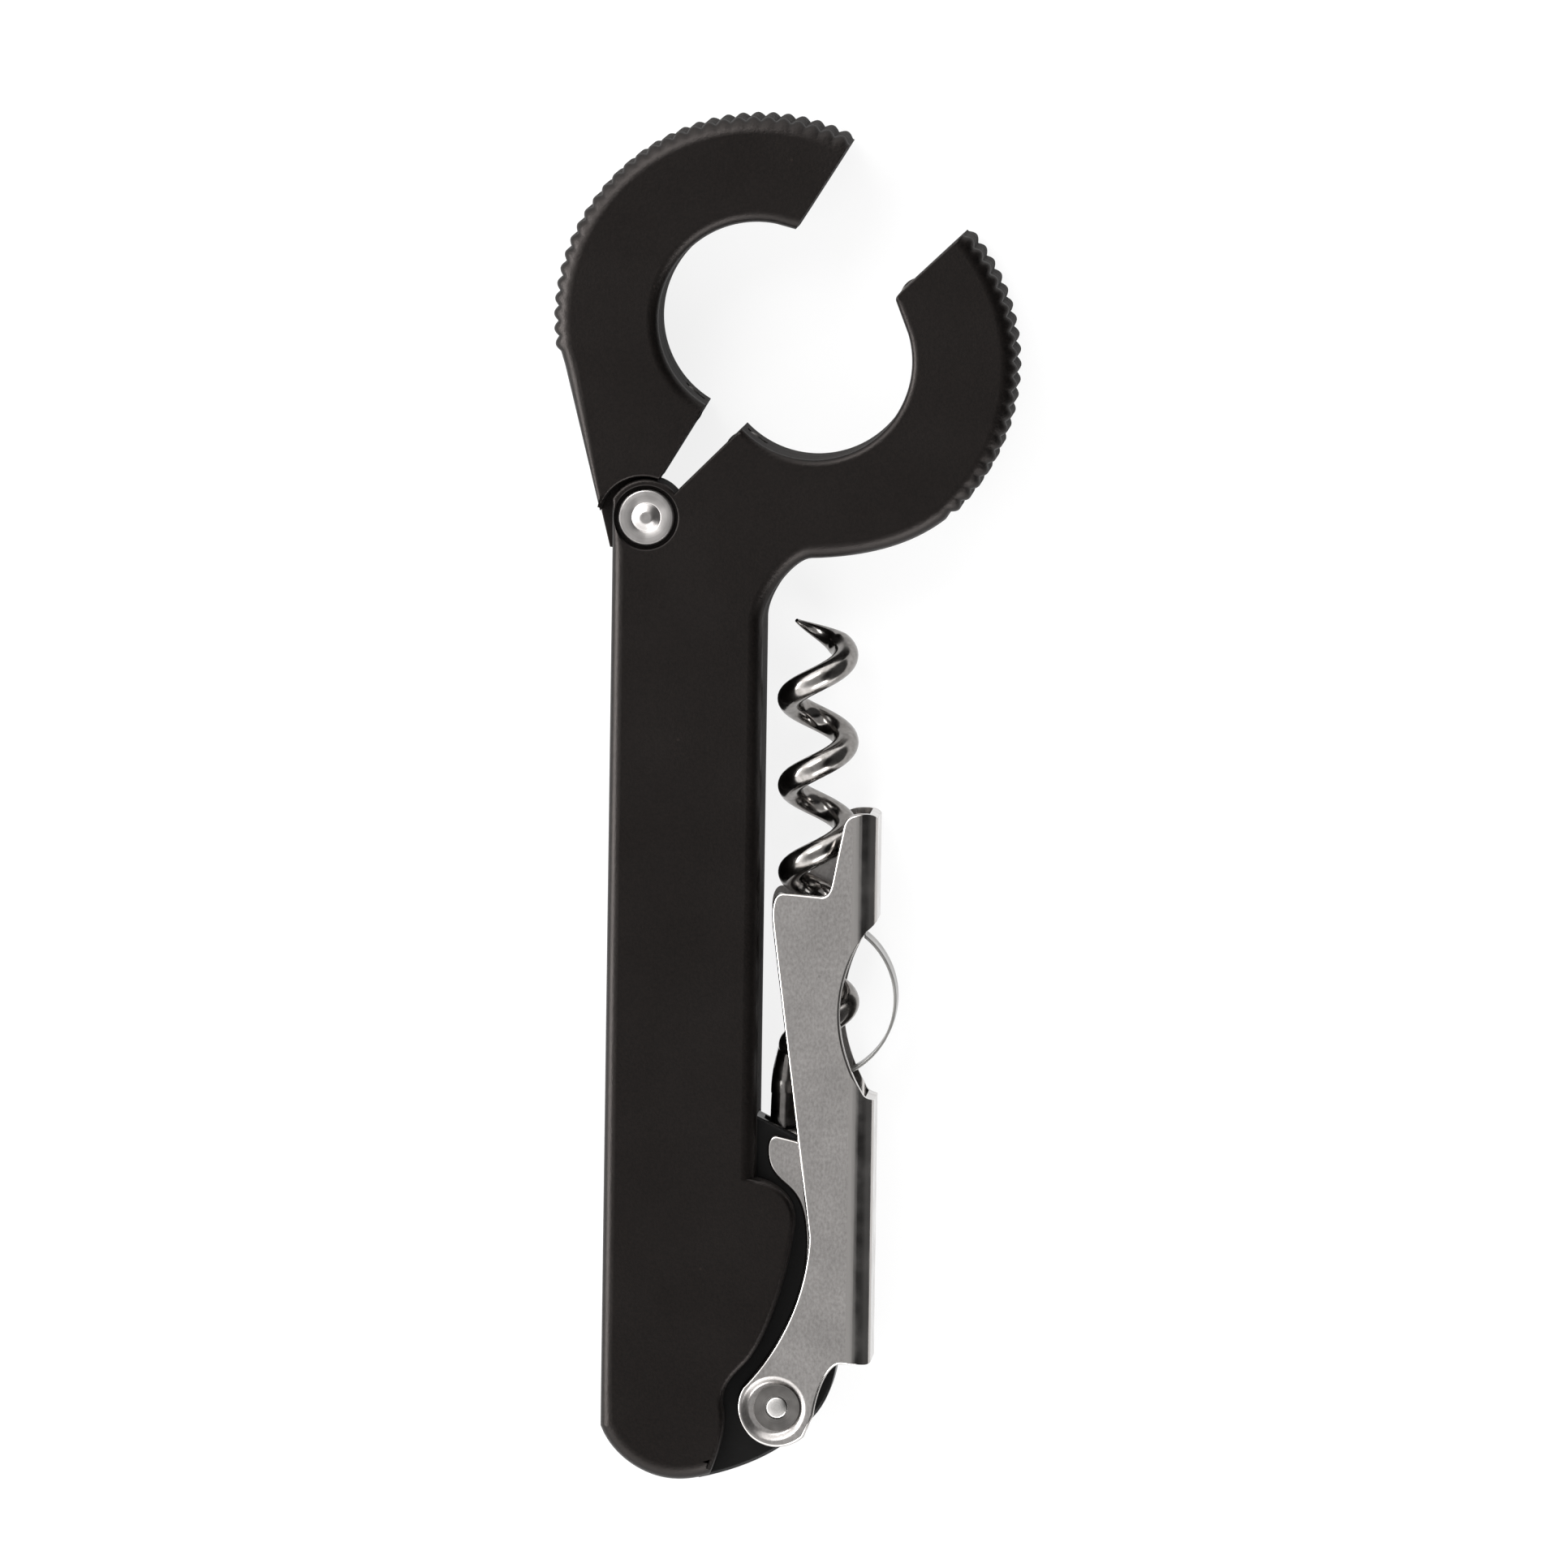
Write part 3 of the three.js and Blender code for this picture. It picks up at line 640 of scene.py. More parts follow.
SHELL = soft_black()
INNER = inner_black()
SATIN = satin_steel()
POLISHED = polished_steel()
STRIP = polished_steel("strip_steel", (0.30, 0.295, 0.285), 0.3)
RIVET = turned_steel("rivet_steel", PIVOT, (0.40, 0.383, 0.374), 0.34)
PIN_END = turned_steel("pin_steel", LEVER_PIVOT, (0.74, 0.72, 0.70), 0.26)
WASHER = turned_steel("washer_steel", LEVER_PIVOT, (0.17, 0.162, 0.155), 0.36)
DARK = dark_steel()
WORM = worm_steel()

# ---------------------------------------- shells

SCREW_PLACES = {
    node: Vector(((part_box(node)[0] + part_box(node)[1]) / 2 / MM).xy)
    for node in frame["nodes"] if node.startswith(("handle_screw", "jaw_screw"))
}


def handle_outline(ear_radius):
    """The handle with the fixed jaw, from the lower left corner clockwise round the jaw."""
    jaw = FIXED_JAW
    reach = min(HALF_WIDTH + PIVOT.x, ear_radius)
    ear_start = 180 - math.degrees(math.acos(reach / ear_radius))
    ear = polar(PIVOT, ear_radius, ear_start)
    base_low = face_meets(jaw.base_face, PIVOT, ear_radius, 1)
    base_high = face_meets(jaw.base_face, jaw.centre, BORE_RADIUS, -1)
    tip_high = face_meets(jaw.tip_face, jaw.outer_centre, jaw.outer_radius - KNURL_DEPTH / 2, 1)
    knurl_start = angle_from(jaw.outer_centre, tip_high) - 0.6
    knurl_end = knurl_start - KNURL_PITCH * jaw.teeth
    path = Outline(-HALF_WIDTH, CORNER_Y)
    path.line(-HALF_WIDTH, ear.y - 6, SIDE_EDGE, spacing=4)
    path.line(ear.x, ear.y, SIDE_EDGE, EAR_EDGE, spacing=0.7)
    path.arc(PIVOT, ear_radius, ear_start, angle_from(PIVOT, base_low), EAR_EDGE, 4)
    path.line(*base_high, FACE_EDGE, spacing=1.5)
    path.arc(jaw.centre, BORE_RADIUS, angle_from(jaw.centre, base_high), 17, jaw.bore_edge, 2)
    path.line(23.97, 69.94, jaw.bore_edge, spacing=0.8)
    path.bezier(23.83, 70.29, 23.83, 70.58, 24.18, 70.92, jaw.bore_edge, FACE_EDGE, steps=6)
    path.line(*tip_high, FACE_EDGE, spacing=2.2)
    path.knurl(jaw, knurl_start, -KNURL_PITCH, GRIP_EDGE)
    path.add(polar(jaw.outer_centre, jaw.outer_radius, knurl_end - 2.5), GRIP_EDGE)
    path.bezier(26.6, 41.9, 21.8, 40.1, 14.4, 39.8, SOFT_EDGE, steps=18)
    path.bezier(12.4, 39.7, 9, 35.2, HALF_WIDTH, 32.4, SOFT_EDGE, steps=18)
    path.line(HALF_WIDTH, -33.1, SOFT_EDGE, spacing=4)
    path.bezier(11.4, -33.6, 13.9, -35.4, 13.6, -38.4, 0.6, steps=16)
    path.bezier(13.2, -42.5, 11.3, -50.6, 8.5, -54.4, 0.6, steps=20)
    path.bezier(7.4, -55.8, 5.2, -57.2, 5.4, -60, 0.6, steps=12)
    path.bezier(6.1, -62.6, 4.9, -66, 4, -68.15, 0.6, steps=12)
    path.bezier(3, -68.5, 1.6, BOTTOM_Y, 0.25, BOTTOM_Y, SOFT_EDGE, steps=10)
    path.bezier(-4.2, BOTTOM_Y, -7.9, -65.6, -HALF_WIDTH, CORNER_Y, SOFT_EDGE, steps=20)
    return path.close(SOFT_EDGE)


def moving_jaw_outline():
    """The jaw's full-thickness part, which stops at its shoulder round the ears."""
    jaw = MOVING_JAW
    tail_radius = jaw.outer_radius - 0.4
    tail_bend = 5.05
    span = (jaw.outer_centre - PIVOT).length
    lean = math.degrees(math.asin((tail_radius - tail_bend) / span))
    tail_normal = angle_from(PIVOT, jaw.outer_centre) + lean + 90
    shoulder_centre = polar(PIVOT, *SHOULDER_OFFSET)
    base_low = face_meets(jaw.base_face, shoulder_centre, SHOULDER_RADIUS, 1)
    base_high = face_meets(jaw.base_face, jaw.centre, BORE_RADIUS, -1)
    tip_high = face_meets(jaw.tip_face, jaw.outer_centre, jaw.outer_radius - KNURL_DEPTH / 2, 1)
    knurl_end = angle_from(jaw.outer_centre, tip_high) + 0.6
    knurl_start = knurl_end + KNURL_PITCH * jaw.teeth
    tail_high = polar(jaw.outer_centre, tail_radius, tail_normal)
    reach = tail_bend - (shoulder_centre - PIVOT).dot(polar((0, 0), 1, tail_normal))
    shoulder = tail_normal - math.degrees(math.acos(reach / SHOULDER_RADIUS))
    tail_low = polar(shoulder_centre, SHOULDER_RADIUS, shoulder)
    path = Outline(*tail_low)
    path.line(*tail_high, EAR_EDGE, GRIP_EDGE, spacing=1.5)
    path.knurl(jaw, knurl_start, -KNURL_PITCH, GRIP_EDGE)
    path.add(tip_high, GRIP_EDGE)
    path.line(12, 78.3, FACE_EDGE, spacing=2.2)
    path.arc(jaw.centre, BORE_RADIUS, 79.6, angle_from(jaw.centre, base_high) + 360, jaw.bore_edge, 2)
    path.line(*base_low, FACE_EDGE, spacing=1.5)
    base = angle_from(shoulder_centre, base_low)
    path.arc(shoulder_centre, SHOULDER_RADIUS, base, shoulder, EAR_EDGE, 4)
    return path.close(EAR_EDGE)


def eye_outline():
    """The tongue that passes between the ears, with the toe that stops the jaw."""
    jaw = MOVING_JAW
    tail_bend = 5.2
    span = (jaw.outer_centre - PIVOT).length
    lean = math.degrees(math.asin((jaw.outer_radius - 0.4 - tail_bend) / span))
    tail_normal = angle_from(PIVOT, jaw.outer_centre) + lean + 90
    bend = polar(PIVOT, tail_bend, tail_normal)
    toe = polar(bend, 2.6, tail_normal + 90)
    up = polar(bend, 9, tail_normal - 90)
    base_low = face_meets(jaw.base_face, PIVOT, EYE_RADIUS, 1)
    base_high = face_meets(jaw.base_face, PIVOT, EYE_RADIUS + 3, 1)
    path = Outline(*toe)
    path.line(*up, FACE_EDGE)
    path.line(*base_high, FACE_EDGE)
    path.line(*base_low, FACE_EDGE)
    path.arc(PIVOT, EYE_RADIUS, angle_from(PIVOT, base_low), -110, FACE_EDGE, 5)
    return path.close(FACE_EDGE)


def cutter_pocket(name):
    """Tools for a cutter's slot and the hole for its axle."""
    centre = JOINTS[f"cutter_{name}_spin"]
    half_slot = CUTTER_THICKNESS / 2 + GAP
    half_hole = AXLE_LENGTH / 2 + GAP
    return [
        cylinder("slot", centre, CUTTER_RADIUS + GAP, MID - half_slot, MID + half_slot),
        cylinder("hole", centre, AXLE_RADIUS + 0.15, MID - half_hole, MID + half_hole, 24),
    ]


def screw_pocket(centre):
    """Tool for a screw's countersunk pocket and its hole, open to the rear."""
    top = SCREW_LOW + SCREW_HEAD_HEIGHT + GAP
    return turned("pocket", centre, [
        (0, -1), (SCREW_HEAD + GAP + 0.25, -1), (SCREW_HEAD + GAP + 0.25, 0), (SCREW_HEAD + GAP, 0.25),
        (SCREW_HEAD + GAP, top), (SCREW_CORE + 0.15, top), (SCREW_CORE + 0.15, SCREW_TIP_Z + GAP),
        (0, SCREW_TIP_Z + GAP),
    ], 48)


def handle_shell(ear_radius, recess):
    """Half of the handle, before its own openings are cut."""
    piece = rounded_slab("handle", handle_outline(ear_radius), MID, THICKNESS, 0.1, 1)
    floor = THICKNESS - RIVET_INSET - RIVET_HEAD
    side = 5.8
    pocket = [(-side, 25.3), (side, 25.3), (side, -24.2), (30, -36), (30, -80), (2.2, -80),
              (1.6, -65.7), (-side, -60.1)]
    tools = [
        turned("recess", PIVOT, [(0, floor), (recess, floor), (recess, THICKNESS - 0.12),
                                 (recess + 0.14, THICKNESS + 0.02), (recess + 0.14, THICKNESS + 1),
                                 (0, THICKNESS + 1)], 96),
        cylinder("shank", PIVOT, SHANK_HOLE, 0, THICKNESS + 1),
        cylinder("eye", PIVOT, EYE_POCKET_RADIUS, 0, MID + EYE_HALF + GAP, 96),
        plain_prism("pocket", pocket, 0, MID + FRAME_HALF + GAP),
    ]
    return combine(piece, tools, "DIFFERENCE")


def moving_shell():
    """Half of the moving jaw, with half of the tongue that passes between the ears."""
    piece = rounded_slab("jaw", moving_jaw_outline(), MID, THICKNESS, 0.1, 1)
    eye = rounded_slab("eye", eye_outline(), MID, MID + EYE_HALF, 0.5, 1)
    piece = combine(piece, [eye], "UNION")
    return combine(piece, [cylinder("shank", PIVOT, SHANK_HOLE, 0, THICKNESS)], "DIFFERENCE")


def opened(piece, side, jaw, screws):
    """The shell on its own side of the part, with its cutters' slots and its screws' holes."""
    if side == "rear":
        flipped(piece)
    tools = []
    for name in CUTTERS:
        if name.startswith(jaw):
            tools += cutter_pocket(name)
    for node, place in SCREW_PLACES.items():
        if node.startswith(screws):
            tools.append(screw_pocket(place))
    return smooth(combine(piece, tools, "DIFFERENCE"), 38)


for side in ("front", "rear"):
    shell = opened(handle_shell(*EARS[side]), side, "fixed", "handle_screw")
    stand_for(shell, f"handle_{side}_shell", SHELL)
for side in ("front", "rear"):
    shell = opened(moving_shell(), side, "moving", "jaw_screw")
    stand_for(shell, f"moving_jaw_{side}_shell", SHELL)

# ---------------------------------------- rivet, cutters and screws


def rivet():
    """The rivet's two heads and its shank. head gives depths below a head's flat ring."""
    top, low, radius = THICKNESS - RIVET_INSET, RIVET_INSET, RIVET_RADIUS
    head = [(0, -0.36), (0.5, -0.38), (0.72, -0.36), (0.9, -0.28), (1.2, -0.15), (1.45, -0.07),
            (1.58, -0.01), (1.68, 0.06), (1.8, 0.0), (radius - 0.3, 0.0), (radius - 0.16, 0.04),
            (radius - 0.04, 0.15), (radius, 0.3), (radius, 1.0), (1.8, 1.0)]
    rear = [(r, low + depth) for r, depth in head]
    front = [(r, top - depth) for r, depth in reversed(head)]
    return turned("rivet", PIVOT, rear + front, 96)


def cutter_wheel(centre):
    """A wheel ground to an edge from both sides."""
    half, radius = CUTTER_THICKNESS / 2, CUTTER_RADIUS
    bore = AXLE_RADIUS + 0.15
    wheel = turned("wheel", centre, [
        (0, MID - half), (radius - 0.75, MID - half), (radius - 0.55, MID - half + 0.05),
        (radius, MID - 0.02), (radius, MID + 0.02), (radius - 0.55, MID + half - 0.05),
        (radius - 0.75, MID + half), (0, MID + half),
    ])
    return combine(wheel, [cylinder("bore", centre, bore, 0, THICKNESS, 32)], "DIFFERENCE")


def chamfered_pin(name, centre, radius, half, chamfer, segments=64):
    """A pin across the middle plane with chamfered ends."""
    low, high = MID - half, MID + half
    return turned(name, centre, [(0, low), (radius - chamfer, low), (radius, low + chamfer),
                                 (radius, high - chamfer), (radius - chamfer, high), (0, high)],
                  segments)


def screw(centre):
    """A countersunk screw from the rear, with a cross recess in its head."""
    low, head = SCREW_LOW, SCREW_HEAD
    top = low + SCREW_HEAD_HEIGHT
    body = turned("screw", centre, [
        (0, low), (head - 0.5, low), (head - 0.2, low + 0.08), (head, low + 0.4), (head, top),
        (SCREW_CORE, top), (SCREW_CORE, SCREW_TIP_Z - 1), (0.3, SCREW_TIP_Z), (0, SCREW_TIP_Z),
    ])
    x, y = centre
    arms = []
    for a, b in ((1.3, 0.28), (0.28, 1.3)):
        corners = [(x - a, y - b), (x + a, y - b), (x + a, y + b), (x - a, y + b)]
        arms.append(plain_prism("arm", corners, low - 1, low + 0.75))
    return combine(body, arms, "DIFFERENCE")


stand_for(smooth(rivet(), 30), "jaw_rivet", RIVET)
for cutter in CUTTERS:
    spot = JOINTS[f"cutter_{cutter}_spin"]
    stand_for(smooth(cutter_wheel(spot)), f"cutter_wheel_{cutter}", DARK)
    axle = chamfered_pin("axle", spot, AXLE_RADIUS, AXLE_LENGTH / 2, 0.1, 32)
    stand_for(smooth(axle), f"cutter_axle_{cutter}", DARK)
for screw_node, spot in SCREW_PLACES.items():
    stand_for(smooth(screw(spot)), screw_node, DARK)

# ---------------------------------------- core frame


def frame_outline():
    """The inner frame: a bar inside the handle and the block that carries both hinges."""
    path = Outline(-5.5, 25)
    path.line(5.5, 25, 0.4, spacing=20)
    path.line(5.5, -24.35, 0.4, spacing=20)
    path.line(13.2, -28.1, 0.4, spacing=2)
    path.bezier(16.5, -29.3, 18.6, -30.7, 18.8, -34.7, 0.4)
    path.line(18.9, -50, 0.4, spacing=4)
    path.bezier(18.9, -54.5, 18.6, -58.6, 15.9, -61.5, 0.4)
    path.bezier(13.2, -65.2, 8.2, -67.6, 2.6, BOTTOM_Y, 0.4)
    path.line(1.9, -65.5, 0.4, spacing=20)
    path.line(-5.5, -60, 0.4, spacing=20)
    return path.close(0.4)


def core_frame():
    """The inner frame with the worm's slot, the hinge holes and room for the screws."""
    piece = rounded_slab("core", frame_outline(), MID - FRAME_HALF, MID + FRAME_HALF, 1, 1, 4)
    tools = [
        plain_prism("slot", [(9.6, -20), (25, -20), (25, -35.6), (9.6, -35.6)], MID - 2.2, MID + 2.2),
        cylinder("worm hole", WORM_HINGE, PIN_RADIUS + 0.15, 0, THICKNESS),
        cylinder("lever hole", LEVER_PIVOT, PIN_RADIUS + 0.15, 0, THICKNESS),
    ]
    for node, place in SCREW_PLACES.items():
        if node.startswith("handle_screw") and abs(place.x) < 1:
            tools.append(cylinder("boss hole", place, 2.7, 0, THICKNESS))
    return combine(piece, tools, "DIFFERENCE")


stand_for(smooth(core_frame()), "core_frame", INNER)

# ---------------------------------------- levers


def outer_outline(rear):
    """Side view of the outer lever. The bend's block trims the part that lies beyond the web."""
    edge, beyond = (10.0 if rear else 10.5), OUTER["web"] + 0.3
    path = Outline(*polar(LEVER_PIVOT, OUTER["boss"], 149.5))
    path.bezier(11.2, -54.2, 15, -48, 15.25, -40, SHEET_EDGE, steps=24)
    path.line(edge, -3.6, SHEET_EDGE, spacing=4)
    path.bezier(edge - 0.3, -1.2, edge, 0.5, edge + 1.1, 0.5, SHEET_EDGE, steps=10)
    if rear:
        path.bezier(14.2, 0.4, 14.9, 3.4, 17, 7.4, SHEET_EDGE, steps=12)
        path.bezier(18.2, 9.8, 19.4, 9.9, 21, 9.9, SHEET_EDGE, steps=10)
    else:
        path.line(15.9, 0.15, SHEET_EDGE)
        path.bezier(16.63, 0.05, 17.1, 0.5, 17.3, 1.5, SHEET_EDGE, steps=8)
        path.line(18.6, 8.3, SHEET_EDGE)
        path.bezier(18.9, 9.8, 20, 9.9, 21, 9.9, SHEET_EDGE, steps=12)
    path.bezier(22.3, 9.9, beyond, 9.4, beyond, 8.4, SHEET_EDGE, steps=10)
    path.line(beyond, -1.8, SHEET_EDGE, spacing=3)
    path.bezier(beyond, -2.6, 22.27, -3.3, 21.5, -3.9, SHEET_EDGE, steps=8)
    path.bezier(17.63, -10.1, 17.53, -16.4, 21.2, -22.8, SHEET_EDGE, steps=24)
    path.bezier(21.4, -23.4, 21.83, -23.7, beyond, -23.8, SHEET_EDGE, steps=6)
    path.line(beyond, -54.3, SHEET_EDGE, spacing=4)
    path.bezier(22.6, -54.8, 22.3, -54.9, 22, -54.9, SHEET_EDGE, steps=4)
    path.line(19.2, -54.9, SHEET_EDGE)
    path.bezier(17.5, -54.9, 16.3, -59, 16.1, -61, SHEET_EDGE, steps=14)
    path.arc(LEVER_PIVOT, OUTER["boss"], -48, -210.5, SHEET_EDGE, 3)
    return path.close(SHEET_EDGE)


def inner_outline():
    """Side view of the inner lever, with the nose that rests on the bottle."""
    beyond = INNER_LEVER["web"] + 0.3
    path = Outline(*polar(LEVER_PIVOT, INNER_LEVER["boss"], 149.5))
    path.bezier(11, -54.1, 14.7, -48, 14.9, -41, SHEET_EDGE, steps=20)
    path.bezier(14.7, -36, 13.6, -35, 12, -33.7, SHEET_EDGE)
    path.bezier(10.6, -32.5, 10.1, -31, 10.2, -29.4, SHEET_EDGE)
    path.bezier(10.33, -28.47, 10.73, -28.08, 11.4, -28.25, SHEET_EDGE, steps=8)
    path.line(16.9, -29.5, SHEET_EDGE)
    path.line(18.2, -26.6, SHEET_EDGE)
    path.line(beyond, -26.6, SHEET_EDGE)
    path.line(beyond, -54.4, SHEET_EDGE, spacing=4)
    path.line(19.4, -54.4, SHEET_EDGE)
    path.bezier(17.7, -54.6, 16.4, -58.8, 16, -61, SHEET_EDGE)
    path.arc(LEVER_PIVOT, INNER_LEVER["boss"], -48, -210.5, SHEET_EDGE, 3)
    return path.close(SHEET_EDGE)


def bent_block(web, half, bend):
    """A block along Y whose two edges on the web side have the sheet's bend."""
    outline = Outline(-5, -75)
    outline.add(Vector((web, -75)), 0)
    outline.add(Vector((web, 20)), bend)
    outline.add(Vector((-5, 20)), 0)
    return rounded_slab("block", outline.close(0), MID - half, MID + half, steps=12, depth=0.45)


def channel(front, rear, lever):
    """Two sheet plates joined along the right by a web, with rounded bends."""
    half, plate, web = lever["half"], lever["plate"], lever["web"]
    piece = rounded_slab("plates", front, MID, MID + half, 0, 1)
    back = rounded_slab("back", rear, MID - half, MID, 1, 0)
    outside = bent_block(web, half, SHEET_BEND)
    inside = bent_block(web - plate, half - plate, SHEET_BEND - plate)
    hole = cylinder("hole", LEVER_PIVOT, PIN_RADIUS + 0.15, 0, THICKNESS)
    combine(piece, [back], "UNION")
    combine(piece, [outside], "INTERSECT")
    return combine(piece, [inside, hole], "DIFFERENCE")


def dish(side):
    """The pressed dish round the pin: a smooth slope down to a flat floor."""
    face = OUTER["half"]
    inner = WASHER_RADIUS + 0.15
    profile = [(0, face - DISH_DEPTH), (inner, face - DISH_DEPTH)]
    for step in range(1, 9):
        share = step / 8
        depth = DISH_DEPTH * (0.5 + 0.5 * math.cos(math.pi * share))
        profile.append((inner + (DISH_RADIUS - inner) * share, face - depth))
    profile += [(DISH_RADIUS, face + 1), (0, face + 1)]
    heights = [(radius, MID + side * height) for radius, height in profile]
    return turned("dish", LEVER_PIVOT + DISH_OFFSET, heights if side > 0 else heights[::-1], 96)


def lever_pin():
    """The levers' pin, with a thinner turned end in each dish."""
    reach, shoulder = OUTER["half"] - 0.05, OUTER["half"] - 0.9
    end, body = PIN_END_RADIUS, PIN_RADIUS
    half = [(0, reach), (end - 0.18, reach), (end - 0.06, reach - 0.05), (end, reach - 0.16),
            (end, shoulder), (body, shoulder)]
    low = [(radius, MID - height) for radius, height in half]
    high = [(radius, MID + height) for radius, height in reversed(half)]
    return turned("pin", LEVER_PIVOT, low + high)


def washer(side):
    """The washer in one dish: side is 1 for the front and -1 for the rear."""
    near = OUTER["half"] - DISH_DEPTH + 0.05
    far = near + 0.3
    low, high = (MID + near, MID + far) if side > 0 else (MID - far, MID - near)
    ring_profile = [(0, low), (WASHER_RADIUS - 0.06, low), (WASHER_RADIUS, low + 0.06),
                    (WASHER_RADIUS, high - 0.06), (WASHER_RADIUS - 0.06, high), (0, high)]
    body = turned("washer", LEVER_PIVOT, ring_profile, 80)
    hole = cylinder("hole", LEVER_PIVOT, PIN_END_RADIUS + 0.12, 0, THICKNESS, 48)
    return combine(body, [hole], "DIFFERENCE")


def bow_strip():
    """The thin sprung strip that bridges the cap lifter's gap."""
    centre, radius, half = (15.3, -12.2), 9.55, 0.175
    tab = OUTER["web"] - OUTER["plate"] - 0.15
    path = Outline(*polar(centre, radius + half, -62))
    path.arc(centre, radius + half, -62, 52, 0.06, 2)
    path.line(tab, -2.6, 0.06)
    path.line(tab, 4.5, 0.06)
    path.line(tab - 2 * half, 4.5, 0.06)
    path.line(tab - 2 * half, -2.7, 0.06)
    path.arc(centre, radius - half, 51.4, -62, 0.06, 2)
    return rounded_slab("bow", path.close(0.06), MID - 3, MID + 3, 1, 1, 2)


outer_lever = channel(outer_outline(False), outer_outline(True), OUTER)
combine(outer_lever, [dish(1), dish(-1)], "DIFFERENCE")
stand_for(smooth(outer_lever, 40), "outer_lever", SATIN, POLISHED)
inner_lever = channel(inner_outline(), inner_outline(), INNER_LEVER)
stand_for(smooth(inner_lever, 40), "inner_lever", SATIN, POLISHED)
stand_for(smooth(lever_pin()), "lever_pin", PIN_END)
stand_for(smooth(washer(1)), "lever_washer_front", WASHER)
stand_for(smooth(washer(-1)), "lever_washer_rear", WASHER)
stand_for(smooth(bow_strip()), "bow_strip", STRIP)

# ---------------------------------------- worm


def helix_point(share):
    """The wire's centre line: share is 0 where the helix starts and 1 at the tip."""
    angle = TIP_ANGLE - TURNS * 360 * (1 - share)
    turn = math.radians(angle)
    return Vector((AXIS_OFFSET + HELIX * math.sin(turn), LENGTH - PITCH * (TIP_ANGLE - angle) / 360,
                   HELIX * math.cos(turn)))


def worm_path(count):
    """Centre line and radius along the wire, from inside the knuckle to the tip."""
    first, second = helix_point(0), helix_point(0.01)
    shank = Vector((first.x - 0.9, first.y - 5.5, 0))
    tangent = (second - first).normalized() * 3
    places = []
    for k in range(16):
        t = k / 16
        places.append((shank * (1 - t) ** 3 + (shank + Vector((0, 2.5, 0))) * 3 * t * (1 - t) ** 2
                       + (first - tangent) * 3 * t * t * (1 - t) + first * t ** 3, WIRE))
    for k in range(count + 1):
        share = k / count
        places.append((helix_point(share), WIRE * min(1, 0.15 + (1 - share) / TAPER)))
    return places


def worm_wire(sides=28):
    """Round wire along the worm's path."""
    places = worm_path(420)
    centres = [centre for centre, radius in places]
    rings = []
    for k, (centre, radius) in enumerate(places):
        tangent = (centres[min(k + 1, len(centres) - 1)] - centres[max(k - 1, 0)]).normalized()
        across = Vector((0, 1, 0)).cross(tangent).normalized()
        rise = tangent.cross(across)
        turns = [2 * math.pi * side / sides for side in range(sides)]
        rings.append(np.array([(centre + across * radius * math.cos(a) + rise * radius * math.sin(a))[:]
                               for a in turns]))
    return lofted("wire", rings)


def worm_shank(first):
    """The flattened end of the wire, whose face leans away to the right."""
    x, y = first.x, first.y
    edge = WIRE - 0.05
    path = Outline(-3.85, 2.5)
    path.line(1.6, 2.5, edge)
    path.bezier(1.4, 6, 0.6, 9, x + 1.2, y - 1, edge)
    path.bezier(x + 1, y + 1.2, x - 0.9, y + 1.7, x - 1.45, y - 0.2, edge)
    path.bezier(-3.5, 10.8, -3.85, 7, -3.85, 2.5, edge)
    piece = rounded_slab("shank", path.close(edge), -WIRE, WIRE, steps=8)
    pivot = Matrix.Translation((-3 * MM, 0, 0))
    lean = Matrix.Rotation(math.radians(SHANK_LEAN), 4, "Y")
    piece.data.transform(pivot @ lean @ pivot.inverted())
    return piece


def worm():
    """Knuckle, shank and wire in one, drawn upright on the origin and then put on the hinge."""
    first = helix_point(0)
    path = Outline(*polar((0, 0), KNUCKLE_RADIUS, 165))
    path.arc((0, 0), KNUCKLE_RADIUS, 165, 400, 1.3, 5)
    path.bezier(2, 3.3, 1, 3.4, 0, 3.4, 1.3)
    path.line(-3.6, 3.4, 1.3)
    knuckle = rounded_slab("knuckle", path.close(1.3), -1.7, 1.7)
    piece = combine(knuckle, [worm_wire(), worm_shank(first)], "UNION")
    combine(piece, [cylinder("hole", (0, 0), PIN_RADIUS + 0.15, -5, 5)], "DIFFERENCE")
    lean = Matrix.Rotation(math.radians(LEAN), 4, "Z")
    place = Matrix.Translation((WORM_HINGE.x * MM, WORM_HINGE.y * MM, MID * MM))
    piece.data.transform(place @ lean)
    return piece


stand_for(smooth(worm(), 50), "worm", WORM)
pin = chamfered_pin("pin", WORM_HINGE, PIN_RADIUS, FRAME_HALF - 0.05, 0.15)
stand_for(smooth(pin), "worm_pin", DARK)

# ---------------------------------------- floor, lights and camera


def towards(azimuth, elevation):
    """The direction at an azimuth and an elevation in degrees."""
    turn, rise = math.radians(azimuth), math.radians(elevation)
    return Vector((math.cos(rise) * math.cos(turn), math.cos(rise) * math.sin(turn), math.sin(rise)))


def floor():
    """A pale floor that glows a little, so that shadows on it stay faint."""
    surface = Surface("floor", (0.14, 0.14, 0.14), 0.9, specular=0.1)
    tone = surface.blend(surface.noise(12, 3), (0.13, 0.13, 0.13), (0.15, 0.15, 0.15))
    surface.link(tone, "Base Color")
    surface.set("Emission Color", (1, 1, 1, 1))
    surface.set("Emission Strength", FLOOR_GLOW)
    signs = ((-1, -1), (1, -1), (1, 1), (-1, 1))
    corners = [(x * FLOOR_SIZE, y * FLOOR_SIZE, FLOOR_Z) for x, y in signs]
    plane = build("floor", corners, [[0, 1, 2, 3]])
    plane.data.materials[0] = surface.material


